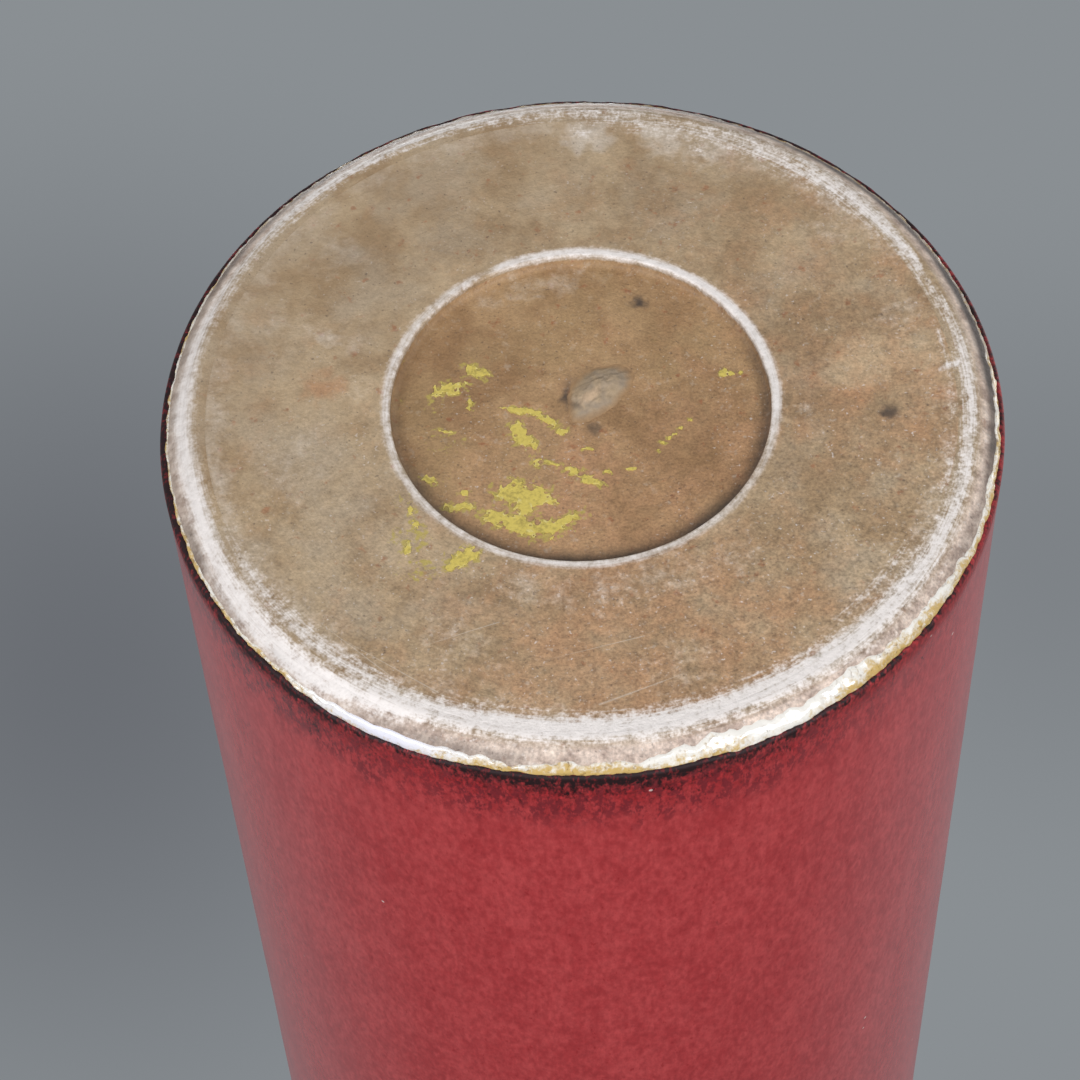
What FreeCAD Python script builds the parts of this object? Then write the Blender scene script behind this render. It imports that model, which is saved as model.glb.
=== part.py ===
import FreeCAD, Part
import math
import os

# A tall straight brush pot of porcelain under a copper-red glaze, standing on its base, mouth up.
# The origin is the centre of the base at the height of the standing land, and +Z is the pot's axis.
# Every length is in millimetres. Each coat of glaze, wash or paint is a solid of its own.

# Whole pot
pot_diameter = 80.0            # over the rolled edge of the red glaze
pot_height = 154.0             # standing land to the top of the lip
wall_thickness = 5.0           # porcelain alone
base_thickness = 7.0           # standing land to the porcelain floor inside
rim_rounding = 2.3             # each corner of the porcelain rim
rim_rounding_limit_share = 0.48

# Underside of the base
recess_diameter = 36.0         # shallow turned hollow in the middle
recess_depth = 1.3
recess_lip_width = 0.7         # bare ring round the hollow
recess_lip_rounding = 0.35
standing_land_width = 1.7      # bare ring that the pot stands on
land_clearance = 0.02          # plane the pot stands on to the paint on the ring
bevel_width = 2.3              # across, from the land's corner to the wall
bevel_height = 1.7             # up the wall
worn_corner_rounding = 1.4

# Coats
red_glaze_thickness = 0.45
glaze_roll_swell = 0.1         # rolled lower edge, beyond the rest of the coat
glaze_roll_height = 4.0        # up to where the roll has faded
glaze_roll_rounding = 0.4
glaze_foot_height = 2.5        # lower edge of the red glaze, above the land
pale_edge_thickness = 0.25
lining_thickness = 0.35
lip_band_height = 3.2          # pale glaze, down from the top
wash_thickness = 0.2
bevel_wash_thickness = 0.12
bare_bevel_share = 0.22        # of the bevel, bare porcelain beside the worn corner
pale_bevel_share = 0.38        # of the bevel, under the pale glaze

# Slip pressed into the corner where the wall is luted to the base
slip_fillet_radius = 4.0

# Clay lump left by the turning tool, near the middle of the hollow
nipple_length = 6.0
nipple_width = 5.2
nipple_height = 0.85
nipple_offset_x = -1.6
nipple_offset_y = 2.2
nipple_crown_share = 0.45      # flat top, of the length

# Old yellow paint left on the base
paint_thickness = 0.08
flake_points = 16
flake_lobes = 3
flake_lobe_share = 0.22
flake_ripples = 5
flake_ripple_share = 0.16
# Each flake: centre across and centre towards the back, both as shares of the
# hollow's radius, then half length and half width as shares of it, then its turn in degrees.
hollow_flake_shares = [
    (0.551, 0.284, 0.062, 0.037, 30),
    (0.691, 0.177, 0.082, 0.043, -15),
    (0.585, 0.068, 0.046, 0.018, 90),
    (0.285, 0.002, 0.089, 0.029, 10),
    (0.149, -0.087, 0.057, 0.027, 35),
    (0.316, -0.154, 0.077, 0.049, 50),
    (0.236, -0.340, 0.034, 0.021, 60),
    (0.047, -0.375, 0.043, 0.021, 15),
    (-0.039, -0.457, 0.068, 0.029, 25),
    (0.792, -0.414, 0.038, 0.026, 30),
    (0.646, -0.594, 0.074, 0.027, 0),
    (0.314, -0.524, 0.118, 0.070, 0),
    (0.396, -0.709, 0.087, 0.041, 20),
    (0.144, -0.735, 0.082, 0.043, 160),
    (-0.781, 0.214, 0.046, 0.021, 0),
]
ring_flake_shares = [
    (0.617, -0.992, 0.077, 0.043, -30),
    (0.871, -0.709, 0.046, 0.031, 70),
    (0.910, -0.904, 0.057, 0.023, 95),
]

# Worked out from the sizes above
pot_radius = pot_diameter / 2
glazed_radius = pot_radius - glaze_roll_swell
body_radius = glazed_radius - red_glaze_thickness
bore_radius = body_radius - wall_thickness
porcelain_top = pot_height - red_glaze_thickness
glaze_top = pot_height - lip_band_height
rim_corner = min(rim_rounding, rim_rounding_limit_share * wall_thickness)
dish_depth = land_clearance + paint_thickness    # washed faces lie this much above the land
recess_radius = recess_diameter / 2
recess_lip_radius = recess_radius + recess_lip_width
land_outer_radius = body_radius - bevel_width
land_inner_radius = land_outer_radius - standing_land_width
ring_wash_back = dish_depth + wash_thickness
recess_wash_face = dish_depth + recess_depth
recess_wash_back = recess_wash_face + wash_thickness
bevel_length = math.hypot(bevel_width, bevel_height)


def at(radius, height):
    """A point of a turned outline, in the XZ plane."""
    return FreeCAD.Vector(radius, 0, height)


def bevel_point(share, lift):
    """A point a share of the way up the foot's bevel, lifted square off its face."""
    radius = land_outer_radius + share * bevel_width + lift * bevel_height / bevel_length
    height = share * bevel_height - lift * bevel_width / bevel_length
    return radius, height


def corner_cut(before, corner, after, rounding):
    """Start, middle and end of the arc that rounds one corner of an outline."""
    back = (before - corner).normalize()
    on = (after - corner).normalize()
    half_angle = back.getAngle(on) / 2
    reach = rounding / math.tan(half_angle)
    middle = (back + on).normalize() * (rounding / math.sin(half_angle) - rounding)
    return corner + back * reach, corner + middle, corner + on * reach


def outline_wire(corners):
    """Closed wire through (radius, height, rounding) corners."""
    points = [at(radius, height) for radius, height, rounding in corners]
    count = len(points)
    cuts = []
    for i, (radius, height, rounding) in enumerate(corners):
        if rounding > 0:
            cuts.append(corner_cut(points[i - 1], points[i], points[(i + 1) % count], rounding))
        else:
            cuts.append((points[i], None, points[i]))
    edges = []
    for i, (start, middle, end) in enumerate(cuts):
        if middle is not None:
            edges.append(Part.Arc(start, middle, end).toShape())
        next_start = cuts[(i + 1) % count][0]
        edges.append(Part.LineSegment(end, next_start).toShape())
    return Part.Wire(edges)


def turned(corners):
    """Solid of revolution about the pot's axis."""
    face = Part.Face(outline_wire(corners))
    return face.revolve(FreeCAD.Vector(0, 0, 0), FreeCAD.Vector(0, 0, 1), 360)


def wall_cylinder():
    """Porcelain wall, luted on top of the base, with a rounded rim."""
    return turned([
        (bore_radius, base_thickness, 0),
        (body_radius, base_thickness, 0),
        (body_radius, porcelain_top, rim_corner),
        (bore_radius, porcelain_top, rim_corner),
    ])


def base_disc():
    """Porcelain base: hollow, bare lip, dished ring, standing land and bevel."""
    return turned([
        (0, recess_wash_back, 0),
        (recess_radius, recess_wash_back, 0),
        (recess_radius, dish_depth, recess_lip_rounding),
        (recess_lip_radius, dish_depth, 0),
        (recess_lip_radius, ring_wash_back, 0),
        (land_inner_radius, ring_wash_back, 0),
        (land_inner_radius, 0, 0),
        (land_outer_radius, 0, worn_corner_rounding),
        (body_radius, bevel_height, 0),
        (body_radius, base_thickness, 0),
        (0, base_thickness, 0),
    ])


def slip_fillet():
    """Slip in the inside corner, with a hollow quarter-round face."""
    foot = at(bore_radius - slip_fillet_radius, base_thickness)
    corner = at(bore_radius, base_thickness)
    top = at(bore_radius, base_thickness + slip_fillet_radius)
    before, middle, after = corner_cut(foot, corner, top, slip_fillet_radius)
    edges = [
        Part.LineSegment(foot, corner).toShape(),
        Part.LineSegment(corner, top).toShape(),
        Part.Arc(top, middle, foot).toShape(),
    ]
    face = Part.Face(Part.Wire(edges))
    return face.revolve(FreeCAD.Vector(0, 0, 0), FreeCAD.Vector(0, 0, 1), 360)


def red_glaze():
    """Copper-red coat on the wall, thicker and rolled at its lower edge."""
    return turned([
        (body_radius, glaze_foot_height, 0),
        (pot_radius, glaze_foot_height, glaze_roll_rounding),
        (pot_radius, glaze_foot_height + glaze_roll_height / 2, 0),
        (glazed_radius, glaze_foot_height + glaze_roll_height, 0),
        (glazed_radius, glaze_top, 0),
        (body_radius, glaze_top, 0),
    ])


def pale_glaze_edge():
    """Thin pale run of glaze from the red coat's edge down onto the bevel."""
    toe_radius, toe_height = bevel_point(1 - pale_bevel_share, 0)
    knee_radius, knee_height = bevel_point(1, pale_edge_thickness)
    return turned([
        (toe_radius, toe_height, 0),
        (knee_radius, knee_height, 0),
        (body_radius + pale_edge_thickness, bevel_height, 0),
        (body_radius + pale_edge_thickness, glaze_foot_height, 0),
        (body_radius, glaze_foot_height, 0),
        (body_radius, bevel_height, 0),
    ])


def lip_glaze():
    """Pale coat over the rim, between the red coat outside and the lining inside."""
    return turned([
        (body_radius, glaze_top, 0),
        (glazed_radius, glaze_top, 0),
        (glazed_radius, pot_height, rim_corner + red_glaze_thickness),
        (bore_radius - lining_thickness, pot_height, rim_corner + lining_thickness),
        (bore_radius - lining_thickness, glaze_top, 0),
        (bore_radius, glaze_top, 0),
        (bore_radius, porcelain_top, rim_corner),
        (body_radius, porcelain_top, rim_corner),
    ])


def lining_glaze():
    """Coat on the wall and floor inside."""
    return turned([
        (0, base_thickness, 0),
        (bore_radius, base_thickness, slip_fillet_radius),
        (bore_radius, glaze_top, 0),
        (bore_radius - lining_thickness, glaze_top, 0),
        (bore_radius - lining_thickness, base_thickness + lining_thickness,
         slip_fillet_radius - lining_thickness),
        (0, base_thickness + lining_thickness, 0),
    ])


def ring_wash():
    """Iron wash on the flat ring, between the two bare lands."""
    return turned([
        (recess_lip_radius, dish_depth, 0),
        (land_inner_radius, dish_depth, 0),
        (land_inner_radius, ring_wash_back, 0),
        (recess_lip_radius, ring_wash_back, 0),
    ])


def recess_wash():
    """Iron wash on the floor of the hollow."""
    return turned([
        (0, recess_wash_face, 0),
        (recess_radius, recess_wash_face, 0),
        (recess_radius, recess_wash_back, 0),
        (0, recess_wash_back, 0),
    ])


def bevel_wash():
    """Grey-brown wash on the bevel, between the worn corner and the pale glaze."""
    low = bevel_point(bare_bevel_share, 0)
    low_face = bevel_point(bare_bevel_share, bevel_wash_thickness)
    high_face = bevel_point(1 - pale_bevel_share, bevel_wash_thickness)
    high = bevel_point(1 - pale_bevel_share, 0)
    return turned([(*low, 0), (*low_face, 0), (*high_face, 0), (*high, 0)])


def centre_nipple():
    """Low oval lump on the washed floor of the hollow, pointing down."""
    crown = nipple_crown_share * nipple_length / 2
    lump = turned([
        (0, recess_wash_face - nipple_height, 0),
        (crown, recess_wash_face - nipple_height, nipple_height / 2),
        (nipple_length / 2, recess_wash_face, 0),
        (0, recess_wash_face, 0),
    ])
    oval = FreeCAD.Matrix()
    oval.A22 = nipple_width / nipple_length
    lump = lump.transformGeometry(oval)
    lump.translate(FreeCAD.Vector(nipple_offset_x, nipple_offset_y, 0))
    return lump


def flake(shares, face_height):
    """One ragged flake of paint, hanging under a face at the given height."""
    across, back, length_share, width_share, turn = shares
    points = []
    for i in range(flake_points):
        angle = 2 * math.pi * i / flake_points
        ragged = 1 + flake_lobe_share * math.sin(flake_lobes * angle + turn)
        ragged += flake_ripple_share * math.sin(flake_ripples * angle - turn)
        points.append(FreeCAD.Vector(
            recess_radius * length_share * ragged * math.cos(angle),
            recess_radius * width_share * ragged * math.sin(angle),
            0))
    wire = Part.makePolygon(points + points[:1])
    solid = Part.Face(wire).extrude(FreeCAD.Vector(0, 0, paint_thickness))
    solid.rotate(FreeCAD.Vector(0, 0, 0), FreeCAD.Vector(0, 0, 1), turn)
    solid.translate(FreeCAD.Vector(
        recess_radius * across, recess_radius * back, face_height - paint_thickness))
    return solid


def paint_flakes():
    """All flakes: those in the hollow and those on the flat ring."""
    flakes = [flake(shares, recess_wash_face) for shares in hollow_flake_shares]
    flakes += [flake(shares, dish_depth) for shares in ring_flake_shares]
    return Part.makeCompound(flakes)


pieces = {
    "wall_cylinder": wall_cylinder,
    "base_disc": base_disc,
    "slip_fillet": slip_fillet,
    "centre_nipple": centre_nipple,
    "red_glaze": red_glaze,
    "pale_glaze_edge": pale_glaze_edge,
    "lip_glaze": lip_glaze,
    "lining_glaze": lining_glaze,
    "ring_wash": ring_wash,
    "recess_wash": recess_wash,
    "bevel_wash": bevel_wash,
    "paint_flakes": paint_flakes,
}

os.makedirs("parts", exist_ok=True)
for node, make in pieces.items():
    shape = make()
    shape.exportStep("parts/" + node + ".step")
    print(node, "solids", len(shape.Solids), "valid", shape.isValid(),
          "volume", round(shape.Volume, 2), "mm3")
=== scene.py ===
"""Brush pot: the finish of every piece, the light and the camera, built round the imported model."""

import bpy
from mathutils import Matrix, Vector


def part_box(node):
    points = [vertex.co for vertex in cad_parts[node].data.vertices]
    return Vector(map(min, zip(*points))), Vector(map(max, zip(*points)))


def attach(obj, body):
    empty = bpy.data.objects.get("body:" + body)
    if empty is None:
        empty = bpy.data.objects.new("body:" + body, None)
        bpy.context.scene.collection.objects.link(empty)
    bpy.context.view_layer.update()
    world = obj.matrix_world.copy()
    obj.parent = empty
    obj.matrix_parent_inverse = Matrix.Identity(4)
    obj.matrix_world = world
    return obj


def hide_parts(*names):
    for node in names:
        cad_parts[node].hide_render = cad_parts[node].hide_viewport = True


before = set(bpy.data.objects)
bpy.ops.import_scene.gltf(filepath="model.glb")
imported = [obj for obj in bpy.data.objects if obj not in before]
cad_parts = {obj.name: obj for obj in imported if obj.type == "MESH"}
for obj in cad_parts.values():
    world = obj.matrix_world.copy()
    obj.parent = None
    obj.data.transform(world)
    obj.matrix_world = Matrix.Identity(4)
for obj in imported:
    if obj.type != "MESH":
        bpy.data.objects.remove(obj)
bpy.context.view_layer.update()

from math import atan2, cos, degrees, exp, hypot, radians, sin, sqrt, tan, tau

import bpy
from bpy.props import FloatProperty, FloatVectorProperty, IntProperty, PointerProperty
from mathutils import Matrix, Vector, noise

bl_info = {
    "name": "Brush Pot",
    "version": (1, 0, 0),
    "blender": (4, 5, 0),
    "location": "View3D > Sidebar > Brush Pot",
    "description": "Models and finishes the coats of a copper-red brush pot",
    "category": "Add Mesh",
}

MM = 0.001
NEAR = MM / 100     # places closer than this count as the same
SEAM = MM / 1000    # vertices closer than this are merged


def outline_of(node):
    """The (radius, height) corners of a turned node, each once, sorted, in metres."""
    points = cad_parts[node].data.vertices
    return sorted({(round(hypot(p.co.x, p.co.y), 6), round(p.co.z, 6)) for p in points})


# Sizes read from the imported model
POT_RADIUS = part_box("red_glaze")[1].x
GLAZED_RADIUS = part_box("lip_glaze")[1].x
BODY_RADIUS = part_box("wall_cylinder")[1].x
BORE_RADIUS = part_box("lining_glaze")[1].x
POT_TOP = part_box("lip_glaze")[1].z
BODY_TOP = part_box("wall_cylinder")[1].z
GLAZE_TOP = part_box("lip_glaze")[0].z
BASE_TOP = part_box("base_disc")[1].z
LINED_RADIUS = min(r for r, z in outline_of("lip_glaze"))
LINING = BORE_RADIUS - LINED_RADIUS
COAT = GLAZED_RADIUS - BODY_RADIUS
RIM_ROUND = BODY_TOP - max(z for r, z in outline_of("wall_cylinder") if r > BODY_RADIUS - NEAR)
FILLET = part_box("slip_fillet")[1].z - BASE_TOP
HOLLOW_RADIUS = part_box("recess_wash")[1].x
HOLLOW_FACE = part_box("recess_wash")[0].z
HOLLOW_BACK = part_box("recess_wash")[1].z
RING_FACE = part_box("ring_wash")[0].z
RING_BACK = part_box("ring_wash")[1].z
RING_INNER = outline_of("ring_wash")[0][0]
RING_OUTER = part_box("ring_wash")[1].x
LUMP_LOW, LUMP_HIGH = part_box("centre_nipple")
FOOT_OUTLINE = [p for p in outline_of("base_disc") if p[0] > RING_OUTER and p[1] < BASE_TOP / 2]
BEVEL_TOP = FOOT_OUTLINE[-1][1]
TANGENT_RADIUS, TANGENT_HEIGHT = FOOT_OUTLINE[-2]
BEVEL_SLOPE = (BODY_RADIUS - TANGENT_RADIUS) / (BEVEL_TOP - TANGENT_HEIGHT)
LAND_CORNER = BODY_RADIUS - BEVEL_SLOPE * BEVEL_TOP
BEVEL_LENGTH = hypot(BODY_RADIUS - LAND_CORNER, BEVEL_TOP)
BEVEL_ALONG = Vector((BODY_RADIUS - LAND_CORNER, BEVEL_TOP)) / BEVEL_LENGTH
BEVEL_OUT = Vector((BEVEL_ALONG.y, -BEVEL_ALONG.x))
WALL_ALONG = Vector((0, 1))
WALL_OUT = Vector((1, 0))

# Round the pot, 0 degrees is +X and 270 degrees is the near side.
# Worn band at the foot: degrees, strength, then its middle and half width as shares of the pot's radius.
WORN_BAND_SHARES = (
    (0, 0.95, 0.946, 0.02), (12, 0.8, 0.944, 0.018), (30, 0.6, 0.936, 0.018), (50, 0.76, 0.934, 0.017),
    (70, 0.84, 0.934, 0.017), (88, 0.55, 0.923, 0.022), (106, 0.42, 0.9, 0.036), (122, 0.58, 0.911, 0.034),
    (136, 0.76, 0.914, 0.028), (147, 0.84, 0.913, 0.018), (154, 0.78, 0.912, 0.012),
    (158, 0.34, 0.905, 0.016), (166, 0.6, 0.918, 0.014), (172, 0.78, 0.92, 0.014),
    (197, 0.74, 0.918, 0.018), (215, 0.88, 0.914, 0.022), (235, 1.04, 0.912, 0.025),
    (252, 1.12, 0.905, 0.025), (268, 1.2, 0.905, 0.025), (282, 1.12, 0.907, 0.026),
    (292, 1.0, 0.914, 0.026), (300, 0.98, 0.932, 0.03), (308, 1.0, 0.952, 0.024), (318, 1.02, 0.956, 0.021),
    (330, 0.98, 0.946, 0.021), (345, 0.98, 0.936, 0.021),
)
# Scratchy band inside the worn one, in the same columns.
INNER_BAND_SHARES = (
    (0, 0.0, 0.89, 0.014), (160, 0.0, 0.873, 0.007), (168, 0.42, 0.873, 0.007), (184, 0.34, 0.874, 0.007),
    (197, 0.42, 0.871, 0.007), (205, 0.0, 0.86, 0.01), (214, 0.4, 0.85, 0.012), (225, 0.45, 0.845, 0.012),
    (236, 0.0, 0.85, 0.012), (278, 0.0, 0.892, 0.018), (290, 0.42, 0.89, 0.02), (300, 0.58, 0.896, 0.024),
    (315, 0.62, 0.897, 0.026), (327, 0.58, 0.893, 0.023), (336, 0.36, 0.89, 0.018), (346, 0.0, 0.89, 0.014),
)
# Glaze edge at the foot: degrees, the red coat's edge and the pale run's width, both as shares of
# the bevel's length measured from the land's corner, then how thickly the red pools there.
GLAZE_EDGE_SHARES = (
    (0, 0.86, 0.05, 0.75), (25, 0.9, 0.05, 0.65), (60, 0.98, 0.05, 0.6), (120, 0.98, 0.05, 0.6),
    (160, 0.92, 0.09, 0.5), (185, 0.99, 0.2, 0.35), (200, 1.06, 0.3, 0.35), (215, 1.08, 0.42, 0.45),
    (224, 1.09, 0.5, 0.5), (232, 1.1, 0.66, 0.55), (243, 1.13, 0.6, 0.7), (252, 1.14, 0.72, 0.8),
    (263, 1.13, 0.4, 1.0), (283, 1.14, 0.36, 0.9), (294, 1.26, 0.44, 0.6), (304, 1.22, 0.4, 0.75),
    (314, 1.04, 0.14, 0.95), (334, 0.98, 0.09, 0.75), (348, 0.88, 0.06, 0.7),
)
# Brown left on the bevel: degrees, strength.
SOOT_SHARES = (
    (0, 0.28), (15, 0.45), (30, 0.6), (60, 0.6), (90, 0.6), (120, 0.68), (140, 0.8), (172, 0.95),
    (187, 0.74), (202, 0.46), (230, 0.12), (262, 0.14), (276, 0.24), (284, 0.46), (292, 0.5), (299, 0.44),
    (305, 0.3), (318, 0.26), (329, 0.42), (337, 0.55), (346, 0.3),
)
# Bare lip round the hollow: degrees, strength.
LIP_WEAR_SHARES = (
    (0, 0.6), (30, 0.62), (54, 0.6), (61, 0.3), (68, 0.78), (100, 0.88), (150, 0.95), (182, 0.86),
    (196, 0.54), (212, 0.48), (240, 0.58), (270, 0.68), (300, 0.64), (330, 0.62),
)
# Warmth of the wash on the ring: degrees, strength.
WARM_SHARES = (
    (0, 0.25), (40, 0.15), (90, 0.25), (150, 0.45), (185, 0.6), (208, 0.3), (240, 0.65), (272, 0.75),
    (298, 0.4), (330, 0.15),
)
# Pale film on the ring beside the worn band: degrees, strength.
RIM_HAZE_SHARES = (
    (0, 0.6), (22, 0.45), (45, 0.4), (82, 0.55), (100, 0.1), (118, 0.45), (135, 0.62), (148, 0.42),
    (158, 0.1), (180, 0.35), (217, 0.5), (240, 0.1), (262, 0.05), (277, 0.4), (292, 0.3), (312, 0.5),
    (335, 0.6),
)
# Marks on the underside: across and towards the back, reach, all in millimetres, then strength.
WORN_SPOTS = (
    (-36.0, 3.2, 0.8, 0.9), (-35.0, 3.0, 0.8, 0.85), (-34.4, 2.6, 0.6, 0.6), (-32.8, -14.4, 0.8, 0.55),
    (-12.5, 31.4, 1.6, 0.36), (-1.2, 34.2, 1.9, 0.36),
)
HAZE_SPOTS = (
    (-9.0, -19.7, 3.0, 0.5), (-5.4, -21.0, 3.0, 0.45), (-1.9, -21.6, 2.8, 0.55), (1.9, -21.7, 2.6, 0.42),
    (5.6, -20.9, 3.0, 0.52), (-13.6, -17.4, 3.2, 0.4), (-18.5, -10.5, 2.0, 0.35), (21.8, 3.0, 3.0, 0.35),
    (22.2, 8.6, 3.0, 0.45), (23.9, 8.6, 1.5, 0.95), (-1.6, 33.8, 3.4, 1.15), (-9.4, 33.0, 3.4, 1.05),
    (-13.6, 30.8, 3.0, 0.95), (-21.4, -1.9, 1.4, 0.5), (24.0, 19.8, 4.5, 0.45), (27.0, -6.0, 5.0, 0.4),
    (5.0, 15.4, 2.4, 0.6), (1.2, 15.9, 2.2, 0.55), (8.6, 13.6, 2.0, 0.5), (-2.2, 16.2, 1.6, 0.45),
    (-8.7, -30.5, 5.0, 0.3), (12.0, -27.5, 6.0, 0.35), (29.0, 10.0, 6.0, 0.35), (-30.6, 9.0, 3.0, 0.45),
    (-24.5, 20.5, 3.0, 0.4),
)
DIRT_SPOTS = (
    (-6.0, 12.8, 1.05, 0.8), (-6.5, 12.6, 0.8, 0.6), (-28.9, -2.4, 1.3, 0.8), (-24.8, -1.2, 0.8, 0.45),
    (-1.1, -2.2, 1.15, 0.6), (-4.6, 4.6, 0.8, 0.45), (0.5, 3.6, 1.0, 0.35), (23.0, 19.0, 2.6, 0.25),
    (27.6, -11.6, 0.8, 0.4), (-16.0, -22.0, 0.8, 0.35), (-6.5, -25.6, 0.6, 0.45),
)
WARM_SPOTS = (
    (-25.6, -0.4, 2.8, 0.95), (-26.3, 3.8, 3.4, 0.4), (24.6, 3.0, 3.0, 0.9), (-18.1, 20.5, 4.5, 0.45),
    (-34.2, -0.6, 1.8, 0.95), (-1.0, -7.0, 5.5, 1.0), (3.0, -12.5, 6.0, 0.95), (-8.0, -29.0, 7.0, 0.45),
    (-33.8, 8.0, 1.8, 0.85), (-21.0, 11.0, 5.0, 0.6), (1.0, 25.0, 5.0, 0.35), (2.0, -27.0, 5.0, 0.9),
)
DARKER_SPOTS = (
    (-21.6, 7.9, 6.0, 1.0), (-22.2, 5.3, 3.0, 1.8), (-27.6, 9.6, 4.0, 0.8), (-17.6, 14.8, 5.0, 0.7),
    (-20.9, -0.8, 3.4, 1.1), (3.5, 19.9, 3.2, 0.5), (8.8, 21.0, 3.2, 0.45), (0.0, -20.2, 3.4, 0.45),
    (7.5, -20.9, 3.0, 0.45), (-7.0, 26.0, 4.5, 0.6), (-12.0, 1.0, 6.5, 0.55), (-9.0, -7.0, 5.0, 0.3),
    (12.5, 0.5, 4.0, 0.45), (20.6, 18.6, 3.4, 1.0), (13.0, 20.0, 2.4, 0.6), (-34.0, 12.0, 2.4, 1.0),
)
LIGHTER_SPOTS = (
    (-26.4, 3.7, 3.6, 1.7), (-31.7, 4.5, 2.6, 1.0), (19.4, 1.7, 3.0, 0.9), (12.3, 15.8, 3.4, 0.8),
    (16.0, 22.5, 3.0, 0.45), (15.6, -15.4, 4.5, 0.6), (15.5, -22.0, 4.5, 0.35), (-1.0, 8.0, 6.5, 0.5),
    (4.2, 1.2, 3.6, 0.65), (-26.0, -18.0, 4.0, 0.4), (-20.0, 18.5, 4.0, 0.6),
)
STAIN_SPOTS = (
    (17.1, 6.4, 1.3, 0.55), (17.0, 1.6, 1.0, 0.5), (12.9, -2.9, 2.3, 0.62), (14.0, 1.4, 1.5, 0.5),
    (16.3, -11.0, 1.8, 0.62), (15.8, -15.0, 2.6, 0.8), (15.2, -18.4, 2.4, 0.7), (13.0, -7.2, 1.4, 0.45),
)
# Scratches on the ring: across and back at their start, then at their end, and their width.
HAIRLINES = (
    (-0.8, -33.6, -8.7, -30.5, 0.16), (13.5, -31.8, 22.4, -25.6, 0.1), (17.0, -30.6, 25.8, -22.4, 0.09),
    (8.0, -24.5, 15.5, -27.0, 0.08), (-5.0, -26.5, 3.5, -28.6, 0.08),
)
# Paint left in the hollow and on the ring: centre across, centre towards the back, half length
# and half width as shares of a span, then the turn in degrees and the strength.
PAINT_SPAN = 18.5 * MM
PAINT_SHARES = (
    (0.536, 0.276, 0.062, 0.04, 30, 0.9), (0.672, 0.172, 0.085, 0.042, -15, 0.85),
    (0.569, 0.066, 0.06, 0.017, 90, 0.8), (0.29, 0.01, 0.085, 0.026, 8, 0.85),
    (0.165, -0.06, 0.06, 0.03, 40, 0.8), (0.095, -0.13, 0.042, 0.018, 5, 0.9),
    (0.32, -0.11, 0.05, 0.034, 60, 1.0), (0.29, -0.175, 0.06, 0.034, 35, 1.0),
    (0.241, -0.216, 0.03, 0.022, 30, 0.9), (-0.03, -0.244, 0.034, 0.014, 0, 0.9),
    (0.23, -0.331, 0.03, 0.026, 60, 0.8), (0.175, -0.32, 0.07, 0.013, 25, 0.85),
    (0.046, -0.38, 0.046, 0.026, 20, 1.0), (-0.04, -0.44, 0.062, 0.026, 28, 1.0),
    (-0.125, -0.392, 0.024, 0.01, 15, 0.9), (-0.251, -0.377, 0.028, 0.011, 0, 0.9),
    (0.771, -0.403, 0.04, 0.026, 35, 0.9), (0.629, -0.578, 0.074, 0.026, 0, 0.85),
    (0.596, -0.495, 0.028, 0.02, 0, 0.85), (0.35, -0.5, 0.08, 0.066, 0, 1.1),
    (0.25, -0.525, 0.078, 0.05, 20, 1.1), (0.3, -0.59, 0.05, 0.05, 0, 1.0),
    (0.44, -0.65, 0.07, 0.032, 12, 1.1), (0.32, -0.7, 0.092, 0.044, 15, 1.15),
    (0.205, -0.735, 0.08, 0.044, 0, 1.15), (0.085, -0.68, 0.075, 0.026, -25, 1.05),
    (-0.387, -0.264, 0.014, 0.01, -40, 1.0), (-0.409, -0.219, 0.013, 0.011, 0, 1.0),
    (-0.443, -0.196, 0.012, 0.011, 0, 1.0), (-0.475, -0.167, 0.014, 0.013, -40, 1.0),
    (-0.506, -0.132, 0.012, 0.01, 0, 1.0), (-0.555, -0.084, 0.01, 0.009, 0, 1.0),
    (-0.736, 0.208, 0.022, 0.026, 0, 0.95), (-0.784, 0.209, 0.02, 0.014, 0, 0.85),
    (-0.828, 0.211, 0.018, 0.014, 0, 0.8), (0.7, -0.105, 0.05, 0.014, 10, 0.7),
    (0.61, -0.935, 0.068, 0.042, -35, 1.1), (0.545, -0.925, 0.034, 0.024, -20, 1.0),
    (0.665, -0.992, 0.034, 0.022, -30, 1.0), (0.861, -0.64, 0.024, 0.042, 0, 0.65),
    (0.847, -0.73, 0.036, 0.03, 0, 0.6), (0.879, -0.868, 0.022, 0.06, 0, 0.65),
)


def length(name, description, millimetres):
    """A length property, given in millimetres."""
    return FloatProperty(
        name=name, description=description, default=millimetres * MM, unit="LENGTH", precision=5)


def turn(name, description, in_degrees):
    """An angle property, given in degrees."""
    return FloatProperty(name=name, description=description, default=radians(in_degrees), subtype="ANGLE")


def screen_to_light(level):
    """Linear light of a screen level between 0 and 1."""
    return level / 12.92 if level <= 0.04045 else ((level + 0.055) / 1.055) ** 2.4


def colour(name, description, *levels):
    """A colour property, given as it looks on a screen, each channel up to 255."""
    light = [screen_to_light(level / 255) for level in levels]
    return FloatVectorProperty(
        name=name, description=description, subtype="COLOR", size=4, min=0, max=1, default=(*light, 1))


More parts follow.
